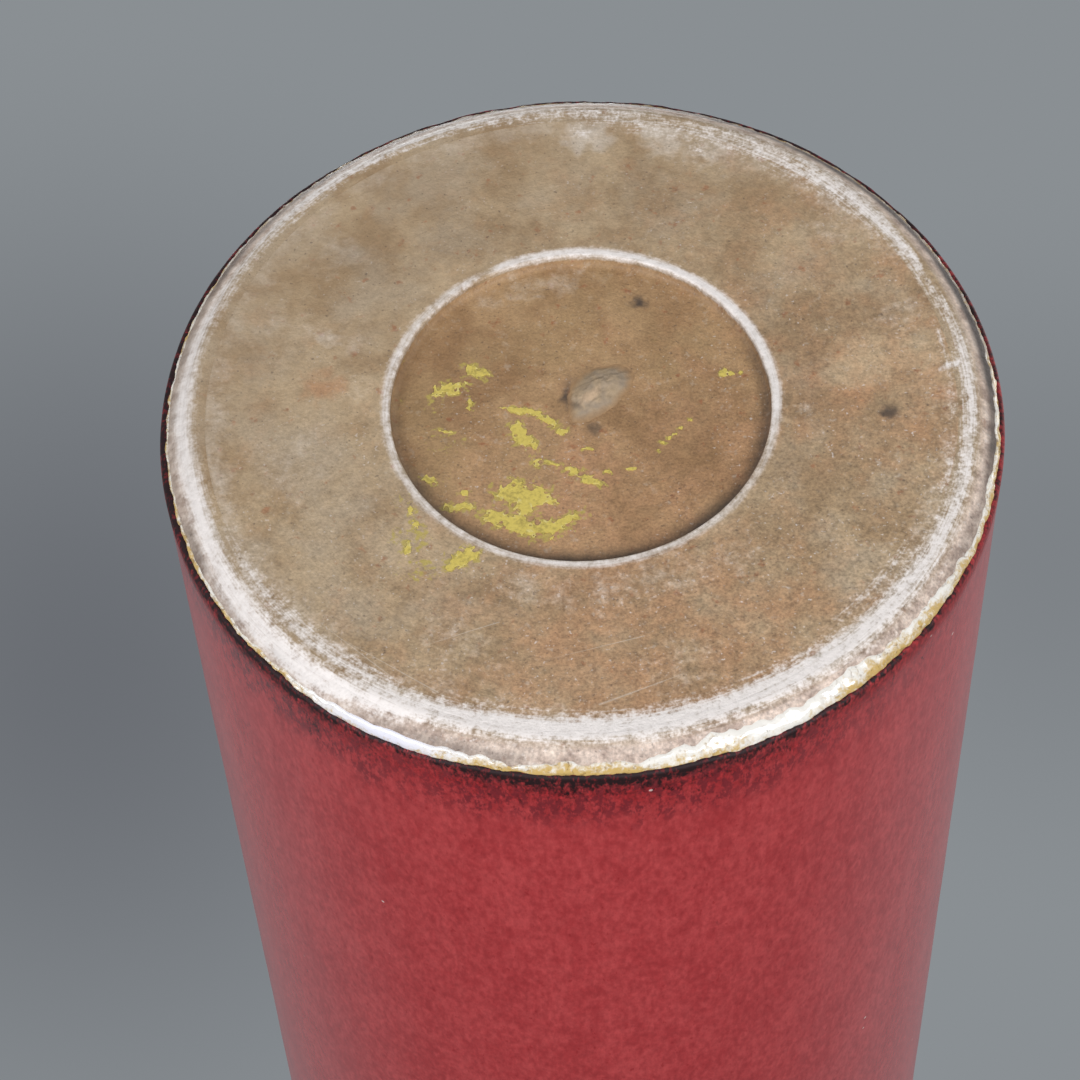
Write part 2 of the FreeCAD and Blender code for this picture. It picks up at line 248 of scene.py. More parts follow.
class PotForm(bpy.types.PropertyGroup):
    """Sizes that shape the modelled coats."""

    segments: IntProperty(name="Segments", description="Steps round the pot", default=720, min=96)
    knee: length("Knee", "Rounding where the bevel turns up into the wall", 1.4)
    wander: length("Edge wander", "How far the glaze's edge strays", 0.28)
    roll: length("Glaze roll", "Rounding of the red coat's lower edge", 0.45)
    swell: length("Roll swell", "How far the roll stands out beyond the coat", 0.08)
    roll_fade: length("Roll fade", "Height up to which the roll has faded", 6.0)
    ripple: length("Ripple", "Unevenness of the glaze's face", 0.035)
    clay_ripple: length("Clay ripple", "Unevenness of the washed faces", 0.05)
    pale_coat: length("Pale coat", "Thickness of the pale run of glaze", 0.2)
    bevel_coat: length("Bevel coat", "Thickness of the wash on the bevel", 0.1)
    paint: length("Paint", "Thickness of the paint", 0.06)
    paint_grain: length("Paint grain", "Step of the mesh that the paint is cut from", 0.105)
    cove: length("Cove", "Hollow corner round the floor of the hollow", 0.7)


class PotColours(bpy.types.PropertyGroup):
    """Colours of the glazes, washes and paint."""

    red: colour("Red", "Copper-red glaze", 157, 45, 48)
    red_light: colour("Light red", "Thin places of the red glaze", 176, 64, 65)
    crimson: colour("Crimson", "Red glaze just above its edge", 132, 10, 18)
    plum: colour("Plum", "Dark mottling above the edge", 106, 28, 36)
    black_red: colour("Black red", "Thick edge of the red glaze", 34, 5, 8)
    tan: colour("Tan wash", "Light iron wash", 181, 158, 126)
    brown: colour("Brown wash", "Dark iron wash", 155, 129, 97)
    grey: colour("Grey wash", "Greyed iron wash", 169, 152, 129)
    rust: colour("Rust wash", "Reddish iron wash", 176, 134, 98)
    rust_spot: colour("Rust spots", "Iron spots in the wash", 150, 96, 62)
    hollow_tan: colour("Hollow tan", "Light wash in the hollow", 174, 141, 102)
    hollow_brown: colour("Hollow brown", "Dark wash in the hollow", 147, 113, 77)
    hollow_grey: colour("Hollow grey", "Greyed wash in the hollow", 150, 122, 84)
    bevel_tan: colour("Bevel tan", "Light wash on the bevel", 212, 192, 176)
    bevel_brown: colour("Bevel brown", "Dark wash on the bevel", 162, 139, 124)
    lump_pale: colour("Pale lump", "Light clay of the lump", 170, 148, 119)
    lump_grey: colour("Grey lump", "Dark clay of the lump", 154, 137, 116)
    # Painted highlight: the lighter peach of the lump's crest; in the porcelain it is a random peach tone.
    lump_peach: colour("Peach lump", "Crest of the lump, where the clay is bare", 192, 165, 134)
    # Dark colour for grime, also used as painted shade in the hollow's corner and round the lump.
    soot: colour("Soot", "Dark dirt in corners", 70, 60, 54)
    porcelain: colour("Porcelain", "Bare fired porcelain", 236, 229, 223)
    pale_glaze: colour("Pale glaze", "Thin glaze over porcelain", 240, 236, 226)
    # Painted highlight: a cool white tint where a lamp's highlight falls on the pale run at the near left.
    glint: colour("Thick pale glaze", "Cool white where the pale run is thick", 238, 238, 248)
    ochre: colour("Ochre glaze", "Iron-stained thin glaze", 204, 172, 104)
    umber: colour("Umber glaze", "Darkest stain in the thin glaze", 120, 86, 48)
    lining: colour("Lining", "Glaze inside the pot", 224, 226, 220)
    yellow: colour("Yellow paint", "Old paint on the base", 208, 188, 94)
    yellow_rim: colour("Paint rim", "Raised edge of a paint flake", 226, 214, 150)
    olive: colour("Olive stain", "Thin paint film", 174, 156, 80)
    film: colour("Paint film", "Specks of paint round the flakes", 182, 164, 84)
    haze: colour("Haze", "Pale rubbed film over the wash", 206, 194, 178)


class Studio(bpy.types.PropertyGroup):
    """Camera, lamps and backdrop."""

    lens: FloatProperty(name="Lens", description="Focal length in mm on a 36 mm sensor", default=107.8)
    distance: length("Distance", "Camera to the centre of the base", 305.2)
    tilt: turn("Tilt", "Line of sight to the pot's axis", 37.34)
    turn_side: turn("Sideways turn", "Framing", 0.80)
    turn_up: turn("Upward turn", "Framing", -2.42)
    roll: turn("Roll", "Framing", -1.99)
    sky: FloatProperty(
        name="Surround", description="Strength of the light from all round", default=0.46, subtype="FACTOR")
    floor: colour("Floor", "Floor", 186, 191, 195)
    backdrop: colour("Backdrop", "Paper all round the pot", 138, 143, 147)
    shadow: colour("Backdrop shadow", "Shaded part of the paper", 100, 103, 109)


# Node trees

class Wire:
    """One output of a node, with which sums and products can be written."""

    def __init__(self, node, output=0):
        self.node = node
        self.output = output

    def __getitem__(self, output):
        return Wire(self.node, output)

    def __add__(self, other):
        return maths("ADD", self, other)

    def __sub__(self, other):
        return maths("SUBTRACT", self, other)

    def __rsub__(self, other):
        return maths("SUBTRACT", other, self)

    def __mul__(self, other):
        return maths("MULTIPLY", self, other)

    def __truediv__(self, other):
        return maths("DIVIDE", self, other)

    def __rtruediv__(self, other):
        return maths("DIVIDE", other, self)


def feed(node, inputs):
    """Set a node's inputs, by name or place, to values or wires."""
    for key, value in inputs.items():
        if isinstance(value, Wire):
            node.id_data.links.new(value.node.outputs[value.output], node.inputs[key])
        else:
            node.inputs[key].default_value = value


def put(tree, kind, inputs, **settings):
    """Add a shader node with its settings and inputs, and give its first output."""
    made = tree.nodes.new("ShaderNode" + kind)
    for key, value in settings.items():
        setattr(made, key, value)
    feed(made, inputs)
    return Wire(made)


def tree_of(*values):
    """The tree that holds the wires among some values."""
    return next(value.node.id_data for value in values if isinstance(value, Wire))


def maths(operation, *values):
    """A number worked out from others by a Math node."""
    return put(tree_of(*values), "Math", dict(enumerate(values)), operation=operation)


def vector(operation, first, second):
    """What a Vector Math node makes of two vectors."""
    return put(tree_of(first, second), "VectorMath", {0: first, 1: second}, operation=operation)


def clamp(value):
    """A value kept between 0 and 1."""
    return put(tree_of(value), "Clamp", {0: value})


def rise(value, low, high):
    """0 below low, 1 above high, smooth between."""
    return put(tree_of(value), "MapRange", {"Value": value, "From Min": low, "From Max": high},
               interpolation_type="SMOOTHSTEP")


def mix(factor, first, second, blend_type="MIX"):
    """Colour between two colours."""
    return put(tree_of(factor, first, second), "Mix", {0: factor, 6: first, 7: second},
               data_type="RGBA", blend_type=blend_type)[2]


def shade(first, value):
    """A colour times a value."""
    return mix(1.0, first, value, "MULTIPLY")


def place_of(tree):
    """Object coordinates, in metres in the pot's frame."""
    return put(tree, "TexCoord", {})["Object"]


def attribute(tree, name):
    """A value stored on the mesh."""
    return put(tree, "Attribute", {}, attribute_name=name)["Fac"]


def relief(height, depth):
    """A normal from a height; depth is in millimetres."""
    return put(tree_of(height), "Bump", {"Strength": 1.0, "Distance": depth * MM, "Height": height})


def use(tree, name, **inputs):
    """A group placed in a tree."""
    return put(tree, "Group", inputs, node_tree=bpy.data.node_groups[name])


def mottling(tree, swirl=0.0, run=1.0):
    """A function that puts cloudy unevenness of a size in millimetres and a detail into a tree."""
    def mottle(size, detail=4.0, swirl=swirl):
        return use(tree, "Fired Mottle", Size=size, Detail=detail, Swirl=swirl, Run=run)

    return mottle


def make_group(name, inputs, outputs, fill):
    """A node group with named inputs and outputs, filled by a function."""
    tree = bpy.data.node_groups.new(name, "ShaderNodeTree")
    for label, start in inputs.items():
        kind = "NodeSocketColor" if isinstance(start, tuple) else "NodeSocketFloat"
        tree.interface.new_socket(label, in_out="INPUT", socket_type=kind).default_value = start
    for label in outputs:
        kind = "NodeSocketColor" if label == "Color" else "NodeSocketFloat"
        tree.interface.new_socket(label, in_out="OUTPUT", socket_type=kind)
    given = Wire(tree.nodes.new("NodeGroupInput"))
    feed(tree.nodes.new("NodeGroupOutput"), fill(tree, given))


def fill_mottle(tree, given):
    """Cloudy unevenness with features of a size in millimetres, Run times as long up the pot."""
    place = put(tree, "SeparateXYZ", {0: place_of(tree)})
    drawn = put(tree, "CombineXYZ", {0: place["X"], 1: place["Y"], 2: place["Z"] / given["Run"]})
    return {"Value": put(tree, "TexNoise", {
        "Vector": drawn, "Scale": 1 / MM / given["Size"], "Detail": given["Detail"], "Roughness": 0.58,
        "Distortion": given["Swirl"]})}


def fill_specks(tree, given):
    """Scattered round specks; Share is how many cells hold one."""
    cells = put(tree, "TexVoronoi", {"Vector": place_of(tree), "Scale": 1 / MM / given["Spacing"]})
    chosen = maths("LESS_THAN", put(tree, "SeparateColor", {0: cells["Color"]}), given["Share"])
    return {"Mask": rise(cells["Distance"], given["Width"], given["Width"] * 0.5) * chosen}


def fill_streaks(tree, given):
    """Scratches that run round the pot's axis, as a turned or rubbed foot has."""
    flat = vector("MULTIPLY", place_of(tree), (1, 1, 0))
    radius = vector("DISTANCE", flat, (0, 0, 0))["Value"]
    place = put(tree, "SeparateXYZ", {0: flat})
    turns = POT_RADIUS / MM / given["Length"]
    unrolled = put(tree, "CombineXYZ", {
        0: place["X"] / radius * turns, 1: place["Y"] / radius * turns, 2: radius / given["Width"] / MM})
    return {"Value": put(tree, "TexNoise", {
        "Vector": unrolled, "Scale": 1.0, "Detail": 3.0, "Roughness": 0.6})}


def fill_hairline(tree, given):
    """One straight scratch on the underside between two places, all in millimetres."""
    flat = vector("MULTIPLY", place_of(tree), (1 / MM, 1 / MM, 0))
    start, end = (put(tree, "CombineXYZ", {0: given[name + " X"], 1: given[name + " Y"]})
                  for name in ("From", "To"))
    span, away = vector("SUBTRACT", end, start), vector("SUBTRACT", flat, start)
    way = clamp(vector("DOT_PRODUCT", away, span)["Value"] / vector("DOT_PRODUCT", span, span)["Value"])
    off = vector("DISTANCE", away, vector("MULTIPLY", span, way))["Value"]
    return {"Mask": clamp(1.0 - off / (given["Width"] * (1.1 - way)))}


def fill_worn_wash(tree, given):
    """Iron wash over porcelain: mottled, rubbed through where Worn is high, and darkened where the
    grime-and-shade mark is high, which holds real grime and painted shade.
    """
    mottle = mottling(tree)
    middle, fine, grain = mottle(4.5, 6.0, 0.2), mottle(0.9), mottle(0.28, 2.0)
    tone = mottle(16.0, 5.0, 0.3) * 0.5 + middle * 0.5 + given["Tone"]
    made = mix(rise(tone, 0.38, 0.62), given["Brown"], given["Tan"])
    cool = mottle(9.0, 5.0, 0.3) - given["Warm"] * 0.25
    made = mix(rise(cool, 0.38, 0.62) * 0.6, made, given["Grey"])
    warm = (mottle(3.6, 6.0, 0.2) - 0.5) * 1.5 + given["Warm"]
    made = mix(rise(warm, 0.20, 1.10) * 0.85, made, given["Rust"])
    made = mix(rise(mottle(1.5, 3.0), 0.62, 0.74) * given["Rustiness"], made, given["Spot Color"])
    patchy = (fine - 0.5) * (given["Grit"] * 1.1 + 0.5) + (mottle(3.0, 3.0) - 0.5) * 1.2
    hazed = rise(given["Haze"] + patchy, 0.15, 1.25) * rise(given["Haze"], 0.0, 0.25)
    made = mix(hazed * 0.70, made, given["Haze Color"])
    crumbs = rise(mottle(0.55, 2.0), 0.60, 0.70) * given["Haze"] * given["Grit"]
    made = mix(crumbs * 0.75, made, given["Porcelain"])
    speckle = ((fine - 0.5) * 0.85 + (grain - 0.5) * 1.05) * (given["Grit"] * 0.95 + 0.30)
    made = shade(made, given["Tone"] * 0.45 + speckle + 1.02)
    streak = use(tree, "Circling Streaks", Width=0.17, Length=5.0) * 0.6
    streak = streak + use(tree, "Circling Streaks", Width=0.50, Length=10.0) * 0.4
    made = mix(rise(streak, 0.62, 0.78) * 0.10, made, given["Porcelain"])
    gritty = rise(mottle(7.0, 3.0), 0.36, 0.60) * (given["Grit"] * 0.75 + 0.30)
    made = mix(rise(mottle(0.85, 2.0), 0.60, 0.76) * gritty * 0.42, made, given["Haze Color"])
    made = mix(rise(mottle(0.36, 1.0), 0.66, 0.79) * gritty * 0.60, made, given["Porcelain"])
    made = mix(rise(mottle(0.42, 1.0), 0.31, 0.22) * 0.45, made, given["Soot Color"])
    film = rise((mottle(0.6) - 0.5) * 2.8 + given["Stain"], 0.52, 1.00) * rise(given["Stain"], 0.05, 0.35)
    made = mix(film * 0.85, made, given["Stain Color"])
    rough_edge = (streak - 0.5) * 1.7 + (fine - 0.5) * 1.5 + (grain - 0.5) * 1.1
    rough_edge = rough_edge * rise(given["Worn"], 0.0, 0.30) * (given["Lip"] * -0.62 + 1.0)
    worn = rise(given["Worn"] + rough_edge, 0.14, 1.04)
    bare = shade(shade(given["Porcelain"], fine * 0.34 + 0.81), 1.0 - rise(streak, 0.50, 0.36) * 0.13)
    made = mix(worn, made, bare)
    # Painted shade as well as grime: this darkening also carries the shade painted in the hollow's corner and
    # round the lump.
    grime_and_shade_mask = rise((middle - 0.5) * 0.7 + given["Soot"], 0.08, 1.00) * rise(given["Soot"], 0.0, 0.2)
    return {"Color": mix(grime_and_shade_mask, made, given["Soot Color"]), "Roughness": fine * 0.2 - worn * 0.06 + 0.46,
            "Height": middle * 0.9 + fine * 0.8 + grain * 0.45 + streak * 0.35 - worn * 0.25}


def fill_glaze_skin(tree, given):
    """Gentle ripple and fine pinholes of a glaze's face."""
    pins = use(tree, "Grit Specks", Spacing=2.6, Width=0.09, Share=given["Pinholes"])
    return {"Height": mottling(tree)(given["Ripple Size"], 2.0) - pins, "Mask": pins}


# What a wash reads from its mesh, each also an input of the group below
WASH_MARKS = ("worn", "soot", "stain", "warm", "haze", "tone", "lip", "grit")
WASH_COLOURS = {"Rust": "rust", "Porcelain": "porcelain", "Spot Color": "rust_spot", "Soot Color": "soot",
                "Stain Color": "film", "Haze Color": "haze"}


def make_groups():
    """The effects that more than one finish uses."""
    make_group("Fired Mottle", {"Size": 5.0, "Detail": 4.0, "Swirl": 0.0, "Run": 1.0}, ["Value"], fill_mottle)
    make_group("Grit Specks", {"Spacing": 2.0, "Width": 0.3, "Share": 0.1}, ["Mask"], fill_specks)
    make_group("Circling Streaks", {"Width": 0.3, "Length": 10.0}, ["Value"], fill_streaks)
    washes = dict.fromkeys(("Tan", "Brown", "Grey", *WASH_COLOURS), (0.5, 0.5, 0.5, 1.0))
    washes.update({name.title(): 0.0 for name in ("rustiness", *WASH_MARKS)})
    make_group("Worn Wash", washes, ["Color", "Roughness", "Height"], fill_worn_wash)
    make_group("Hairline", {"From X": 0.0, "From Y": 0.0, "To X": 1.0, "To Y": 0.0, "Width": 0.1},
               ["Mask"], fill_hairline)
    make_group("Glaze Skin", {"Ripple Size": 5.0, "Pinholes": 0.1}, ["Height", "Mask"], fill_glaze_skin)


def make_finish(name, fill, **details):
    """A material; fill(tree, colours, **details) gives its shader's inputs."""
    material = bpy.data.materials.new(name)
    material.use_nodes = True
    tree = material.node_tree
    feed(tree.nodes["Principled BSDF"], fill(tree, bpy.context.scene.pot_colours, **details))
    return material


def wash(tree, colours, kind="", rustiness=0.35, hairlines=()):
    """Iron wash that reads its wear, its grime and painted shade, and its stain from the mesh, and turns
    greyer on the bevel.
    """
    bevelled = attribute(tree, "bevelled")
    tan, brown, grey = (getattr(colours, kind + name) for name in ("tan", "brown", "grey"))
    sloping = mix(rise(mottling(tree)(1.8, 5.0, 0.3), 0.30, 0.66), colours.bevel_brown, colours.bevel_tan)
    inputs = {"Tan": mix(bevelled, tan, sloping), "Grey": mix(bevelled, grey, sloping),
              "Brown": mix(bevelled, brown, shade(sloping, (0.93, 0.93, 0.93, 1))), "Rustiness": rustiness}
    inputs.update({name.title(): attribute(tree, name) for name in WASH_MARKS})
    inputs.update({name: getattr(colours, source) for name, source in WASH_COLOURS.items()})
    made = use(tree, "Worn Wash", **inputs)
    base = made
    for place in hairlines:
        line = use(tree, "Hairline", **dict(zip(("From X", "From Y", "To X", "To Y", "Width"), place)))
        base = mix(line * 0.55, base, colours.haze)
    return {"Base Color": base, "Roughness": made["Roughness"], "Normal": relief(made["Height"], 0.13)}


def red_glaze(tree, colours):
    """Copper-red glaze: mottled, black and speckled at its thick lower edge, pale at the rim."""
    mottle = mottling(tree, run=2.1)
    above, pool = attribute(tree, "above_edge") / MM, attribute(tree, "pool")
    cloud = mottle(5.0) * 0.40 + mottle(0.9) * 0.60
    base = mix(rise(cloud, 0.34, 0.68), colours.red, colours.red_light)
    base = shade(base, mottle(0.45, 3.0) * 0.56 + 0.72)
    base = mix(rise(mottle(0.6, 3.0), 0.37, 0.27) * 0.45, base, colours.crimson)
    near_edge = rise(above / (pool + 0.2), 8.0, 0.8)
    base = mix(near_edge * 0.60, base, colours.crimson)
    base = shade(base, (mottle(0.3, 3.0) - 0.5) * 2.4 * near_edge + 1.0)
    down = rise((mottle(2.4, 3.0) - 0.5) * 9.0 + above, 10.5, 5.5) * rise(pool, 0.15, 0.85)
    cloudy = mottle(0.8, 5.0) * 0.62 + mottle(0.25, 3.0) * 0.38
    base = mix(rise(cloudy, 0.46, 0.56) * down * 0.80, base, colours.plum)
    blotch = mottle(0.5, 5.0) * 0.62 + mottle(2.6, 3.0) * 0.38
    reach = rise(above, 9.0, -1.0) * (pool * 0.76 + 0.22)
    thickest = mix(rise(mottle(0.4), 0.52, 0.66) * 0.50, colours.black_red, colours.crimson)
    base = mix(rise((blotch - 0.5) * 3.6 + reach, 0.55, 1.25), base, thickest)
    torn = mottle(1.3, 5.0) * 0.5 + mottle(0.45) * 0.5
    wavy = above - pool * 1.8 + (torn - 0.5) * (pool * 6.5 + 2.0)
    base = mix(rise(wavy, -0.30, -1.15), base, thickest)
    drained = (mottle(3.0, 3.0) - 0.5) * (5.0 * MM) + put(tree, "SeparateXYZ", {0: place_of(tree)})["Z"]
    base = mix(rise(drained, GLAZE_TOP - 4.5 * MM, GLAZE_TOP + 0.5 * MM), base, colours.pale_glaze)
    skin = use(tree, "Glaze Skin", **{"Ripple Size": 4.0, "Pinholes": 0.06})
    base = mix(skin["Mask"] * 0.5, base, colours.pale_glaze)
    peel = mottle(0.8, 3.0) * 0.5 + skin + rise(above, 2.2, 0.2) * torn * 3.5
    rough = rise(above, 3.0, 0.4) * 0.40 + 0.24
    return {"Base Color": base, "Roughness": rough, "Normal": relief(peel, 0.02)}


def pale_run(tree, colours):
    """Thin glaze at the red coat's foot, white with ochre and umber stains, with a painted cool-white
    highlight at the near left.
    """
    mottle = mottling(tree, swirl=0.5)
    grain = mottle(1.6, 5.0) * 0.5 + mottle(0.4) * 0.5
    glassy, ochre = attribute(tree, "glassy"), attribute(tree, "ochre")
    stain = (grain - 0.5) * 3.0 + (attribute(tree, "across") - 0.5) * 0.8 + ochre
    # Painted highlight: cool white mixed in where the highlight mark is high.
    white = mix(glassy, colours.pale_glaze, colours.glint)
    base = mix(rise(stain, 0.22, 1.00), white, colours.ochre)
    base = mix(rise(mottle(0.6), 0.55, 0.68) * ochre * 0.75, base, colours.umber)
    base = mix(rise(attribute(tree, "soot"), 0.25, 1.0), base, colours.umber)
    bumpy = grain * 0.8 + use(tree, "Glaze Skin", **{"Ripple Size": 1.1, "Pinholes": 0.3})
    return {"Base Color": base, "Roughness": 0.2, "Normal": relief(bumpy * (1.0 - glassy * 0.75), 0.10),
            "Coat Weight": 1.0, "Coat IOR": 1.7, "Coat Roughness": 0.12}


def white_glaze(tree, colours, tint, crackle):
    """Off-white glaze with a faint crackle of a size in millimetres."""
    cells = put(tree, "TexVoronoi", {"Vector": place_of(tree), "Scale": 1 / (crackle * MM)},
                feature="DISTANCE_TO_EDGE")["Distance"]
    base = shade(getattr(colours, tint), mottling(tree)(12.0, 4.0, 0.3) * 0.16 + 0.90)
    base = mix(rise(cells, 0.008, 0.001) * 0.09, base, colours.umber)
    base = mix(use(tree, "Grit Specks", Spacing=7.0, Width=0.05, Share=0.25) * 0.7, base, colours.soot)
    skin = use(tree, "Glaze Skin", **{"Ripple Size": 6.0, "Pinholes": 0.10})
    return {"Base Color": base, "Roughness": 0.16, "Normal": relief(skin, 0.03)}


def clay(tree, colours, light, dark):
    """Rough fired clay, for the lump and for the porcelain inside the coats."""
    mottle = mottling(tree)
    coarse, fine = mottle(2.2, 5.0, 0.4), mottle(0.5)
    base = mix(rise(coarse, 0.36, 0.62), getattr(colours, dark), getattr(colours, light))
    # On the lump the crest mark adds a painted highlight in peach.
    bare = (coarse - 0.5) * 1.4 + attribute(tree, "crest")
    base = mix(rise(bare, 0.25, 0.95) * 0.85, base, colours.lump_peach)
    base = shade(base, fine * 0.6 + 0.70)
    around = [0.45 * tan + 0.55 * brown for tan, brown in zip(colours.hollow_tan, colours.hollow_brown)]
    base = mix(attribute(tree, "fade"), base, shade(around, fine * 0.5 + 0.75))
    # Grime and painted shade round the lump's edge.
    base = mix(rise(attribute(tree, "soot"), 0.2, 1.0), base, colours.soot)
    return {"Base Color": base, "Roughness": fine * 0.2 + 0.72, "Normal": relief(fine * 0.5 + coarse, 0.10)}


def paint(tree, colours):
    """Old yellow paint, rubbed and a little dirty."""
    mottle = mottling(tree)
    cloud, fine = mottle(1.8, 5.0, 0.3), mottle(0.35, 3.0)
    base = mix(rise((fine - 0.5) * 0.9 + cloud, 0.22, 0.56), colours.olive, colours.yellow)
    base = shade(mix(attribute(tree, "rim") * 0.75, base, colours.yellow_rim), fine * 0.36 + 0.84)
    return {"Base Color": base, "Roughness": 0.42, "Normal": relief(cloud + fine, 0.05)}


# Shapes

def clip(value):
    """The value kept between 0 and 1."""
    return min(1.0, max(0.0, value))


def row_at(angle, table):
    """A table's columns at an angle in radians, smooth between its rows."""
    place = degrees(angle) % 360
    rows = (*table, (table[0][0] + 360, *table[0][1:]))
    before, after = next(pair for pair in zip(rows, rows[1:]) if pair[0][0] <= place <= pair[1][0])
    way = (place - before[0]) / (after[0] - before[0])
    way = way * way * (3 - 2 * way)
    return [first + (second - first) * way for first, second in zip(before[1:], after[1:])]


def wave(angle, reach, seed, height=0.0):
    """Smooth noise round the pot, from about -1 to 1; reach is how many features go round."""
    return noise.noise(Vector((cos(angle) * reach, sin(angle) * reach, height + seed)))


def skin(along, knee):
    """Point and outward direction on the porcelain, a way up the bevel and then the wall."""
    cut = knee * tan(WALL_OUT.angle(BEVEL_OUT) / 2)
    corner = Vector((BODY_RADIUS, BEVEL_TOP))
    if along <= BEVEL_LENGTH - cut:
        return corner - BEVEL_ALONG * (BEVEL_LENGTH - along), BEVEL_OUT
    if along >= BEVEL_LENGTH + cut:
        return corner + WALL_ALONG * (along - BEVEL_LENGTH), WALL_OUT
    out = BEVEL_OUT.slerp(WALL_OUT, (along - BEVEL_LENGTH + cut) / (2 * cut))
    return corner - BEVEL_ALONG * cut - BEVEL_OUT * knee + out * knee, out


def arc(centre, radius, start, end, steps):
    """Points on an arc, angles in degrees."""
    turns = [radians(start + (end - start) * i / steps) for i in range(steps + 1)]
    return [(centre[0] + radius * cos(t), centre[1] + radius * sin(t)) for t in turns]


def run(start, end, steps):
    """Points from start to end, without the end."""
    return [(start[0] + (end[0] - start[0]) * i / steps, start[1] + (end[1] - start[1]) * i / steps)
            for i in range(steps)]


def coat_loop(steps):
    """Loop of a thin coat: its face at 2, its back at 1, and its way from the lower edge to the upper."""
    return [(2, i / steps) for i in range(steps + 1)] + [(1, 1 - i / 6) for i in range(7)]


def begin(name, add, **settings):
    """Add a mesh with one of Blender's operators and name it."""
    bpy.ops.object.select_all(action="DESELECT")
    add(**settings)
    piece = bpy.context.object
    piece.name = piece.data.name = name
    return piece


def lathe(name, loop):
    """Turn a closed loop of (radius, height) points once round the pot's axis."""
    piece = begin(name, bpy.ops.mesh.primitive_circle_add, vertices=len(loop), radius=POT_RADIUS)
    for vertex, (radius, height) in zip(piece.data.vertices, loop):
        vertex.co = (radius, 0, height)
    screw = piece.modifiers.new("turn", "SCREW")
    screw.axis, screw.angle, screw.screw_offset = "Z", tau, 0.0
    screw.steps = screw.render_steps = bpy.context.scene.pot_form.segments
    screw.use_merge_vertices, screw.merge_threshold = True, SEAM
    bpy.ops.object.modifier_apply(modifier=screw.name)
    bpy.ops.object.mode_set(mode="EDIT")
    bpy.ops.mesh.select_all(action="SELECT")
    bpy.ops.mesh.remove_doubles(threshold=SEAM)
    bpy.ops.mesh.delete_loose()
    bpy.ops.object.mode_set(mode="OBJECT")
    return piece


def polar(vertex):
    """Angle, radius and height of a vertex."""
    return atan2(vertex.co.y, vertex.co.x), hypot(vertex.co.x, vertex.co.y), vertex.co.z


def shape(piece, rule):
    """Move every vertex to rule(angle, radius, height), a (radius, height) pair."""
    for vertex in piece.data.vertices:
        angle, radius, height = polar(vertex)
        radius, height = rule(angle, radius, height)
        vertex.co = (radius * cos(angle), radius * sin(angle), height)


def mark(piece, **rules):
    """Store each rule(angle, radius, height) at every vertex, for the finish to read."""
    for name, rule in rules.items():
        values = [rule(*polar(vertex)) for vertex in piece.data.vertices]
        piece.data.attributes.new(name, "FLOAT", "POINT").data.foreach_set("value", values)


def finish_piece(piece, material, slot, *nodes):
    """Outward normals, smooth faces, its finish, and the nodes that it stands for; the slot is not used."""
    bpy.ops.object.select_all(action="DESELECT")
    piece.select_set(True)
    bpy.context.view_layer.objects.active = piece
    bpy.ops.object.mode_set(mode="EDIT")
    bpy.ops.mesh.select_all(action="SELECT")
    bpy.ops.mesh.normals_make_consistent(inside=False)
    bpy.ops.object.mode_set(mode="OBJECT")
    bpy.ops.object.shade_smooth_by_angle(angle=radians(50))
    piece.data.materials.clear()
    piece.data.materials.append(material)
    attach(piece, "root")
    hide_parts(*nodes)


def spots_at(angle, radius, table):
    """Strength of the round marks of a table at a place on the underside."""
    x, y = radius * cos(angle) / MM, radius * sin(angle) / MM
    best = 0.0
    for across, back, reach, strength in table:
        off = hypot(x - across, y - back) / reach
        if off < 1.4:
            off += 0.45 * noise.noise(Vector((x, y, reach)) * 1.6 / sqrt(reach))
            best = max(best, strength * (1 - off * off))
    return best


def worn_at(angle, radius, height):
    """How far the wash is rubbed through on the underside, 0 to a little over 1."""
    strength, middle, half = row_at(angle, WORN_BAND_SHARES)
    off = (radius - middle * POT_RADIUS - wave(angle, 5.0, 3.1) * 0.25 * MM) / (half * POT_RADIUS)
    band = strength * exp(-0.75 * (0.72 * off if off < 0 else off) ** 2)
    strength, middle, half = row_at(angle, INNER_BAND_SHARES)
    off = (radius - middle * POT_RADIUS - wave(angle, 8.0, 5.3) * 0.30 * MM) / (half * POT_RADIUS)
    inner = strength * exp(-0.7 * off ** 2)
    off = radius - (HOLLOW_RADIUS + RING_INNER) / 2 - 0.08 * MM - wave(angle, 9.0, 7.7) * 0.10 * MM
    off /= 0.78 * (RING_INNER - HOLLOW_RADIUS)
    lip = 1.15 * row_at(angle, LIP_WEAR_SHARES)[0] * exp(-0.8 * off ** 2)
    if radius < HOLLOW_RADIUS + NEAR:
        down = (height - RING_FACE) / (HOLLOW_FACE - RING_FACE)
        lip *= 1 - clip((down - 0.30) / 0.35)
    return max(band, inner, lip, spots_at(angle, radius, WORN_SPOTS))


def grime_and_shade_at(angle, radius, height):
    """Darkening: grime on the bevel and in spots, grime and painted shade round the lump, and painted shade
    along the hollow's corner, more on the near side.
    """
    if radius > LAND_CORNER:
        low = LAND_CORNER + 0.30 * (BODY_RADIUS - LAND_CORNER)
        return row_at(angle, SOOT_SHARES)[0] * clip((radius - low) / (0.8 * MM))
    spots = spots_at(angle, radius, DIRT_SPOTS)
    if radius > HOLLOW_RADIUS + NEAR:
        return spots
    # Painted shade: the hollow's floor darkens towards its corner, more strongly and further in on the near
    # side.
    near_side = 0.5 - 0.5 * sin(angle + radians(10))
    reach = (1.0 + 1.5 * near_side) * MM
    corner = max(0.0, 1 - max(0.0, HOLLOW_RADIUS - 0.3 * MM - radius) / reach) ** 1.4
    return max(corner * (0.14 + 0.74 * near_side), spots, lump_edge_grime_and_shade(angle, radius))


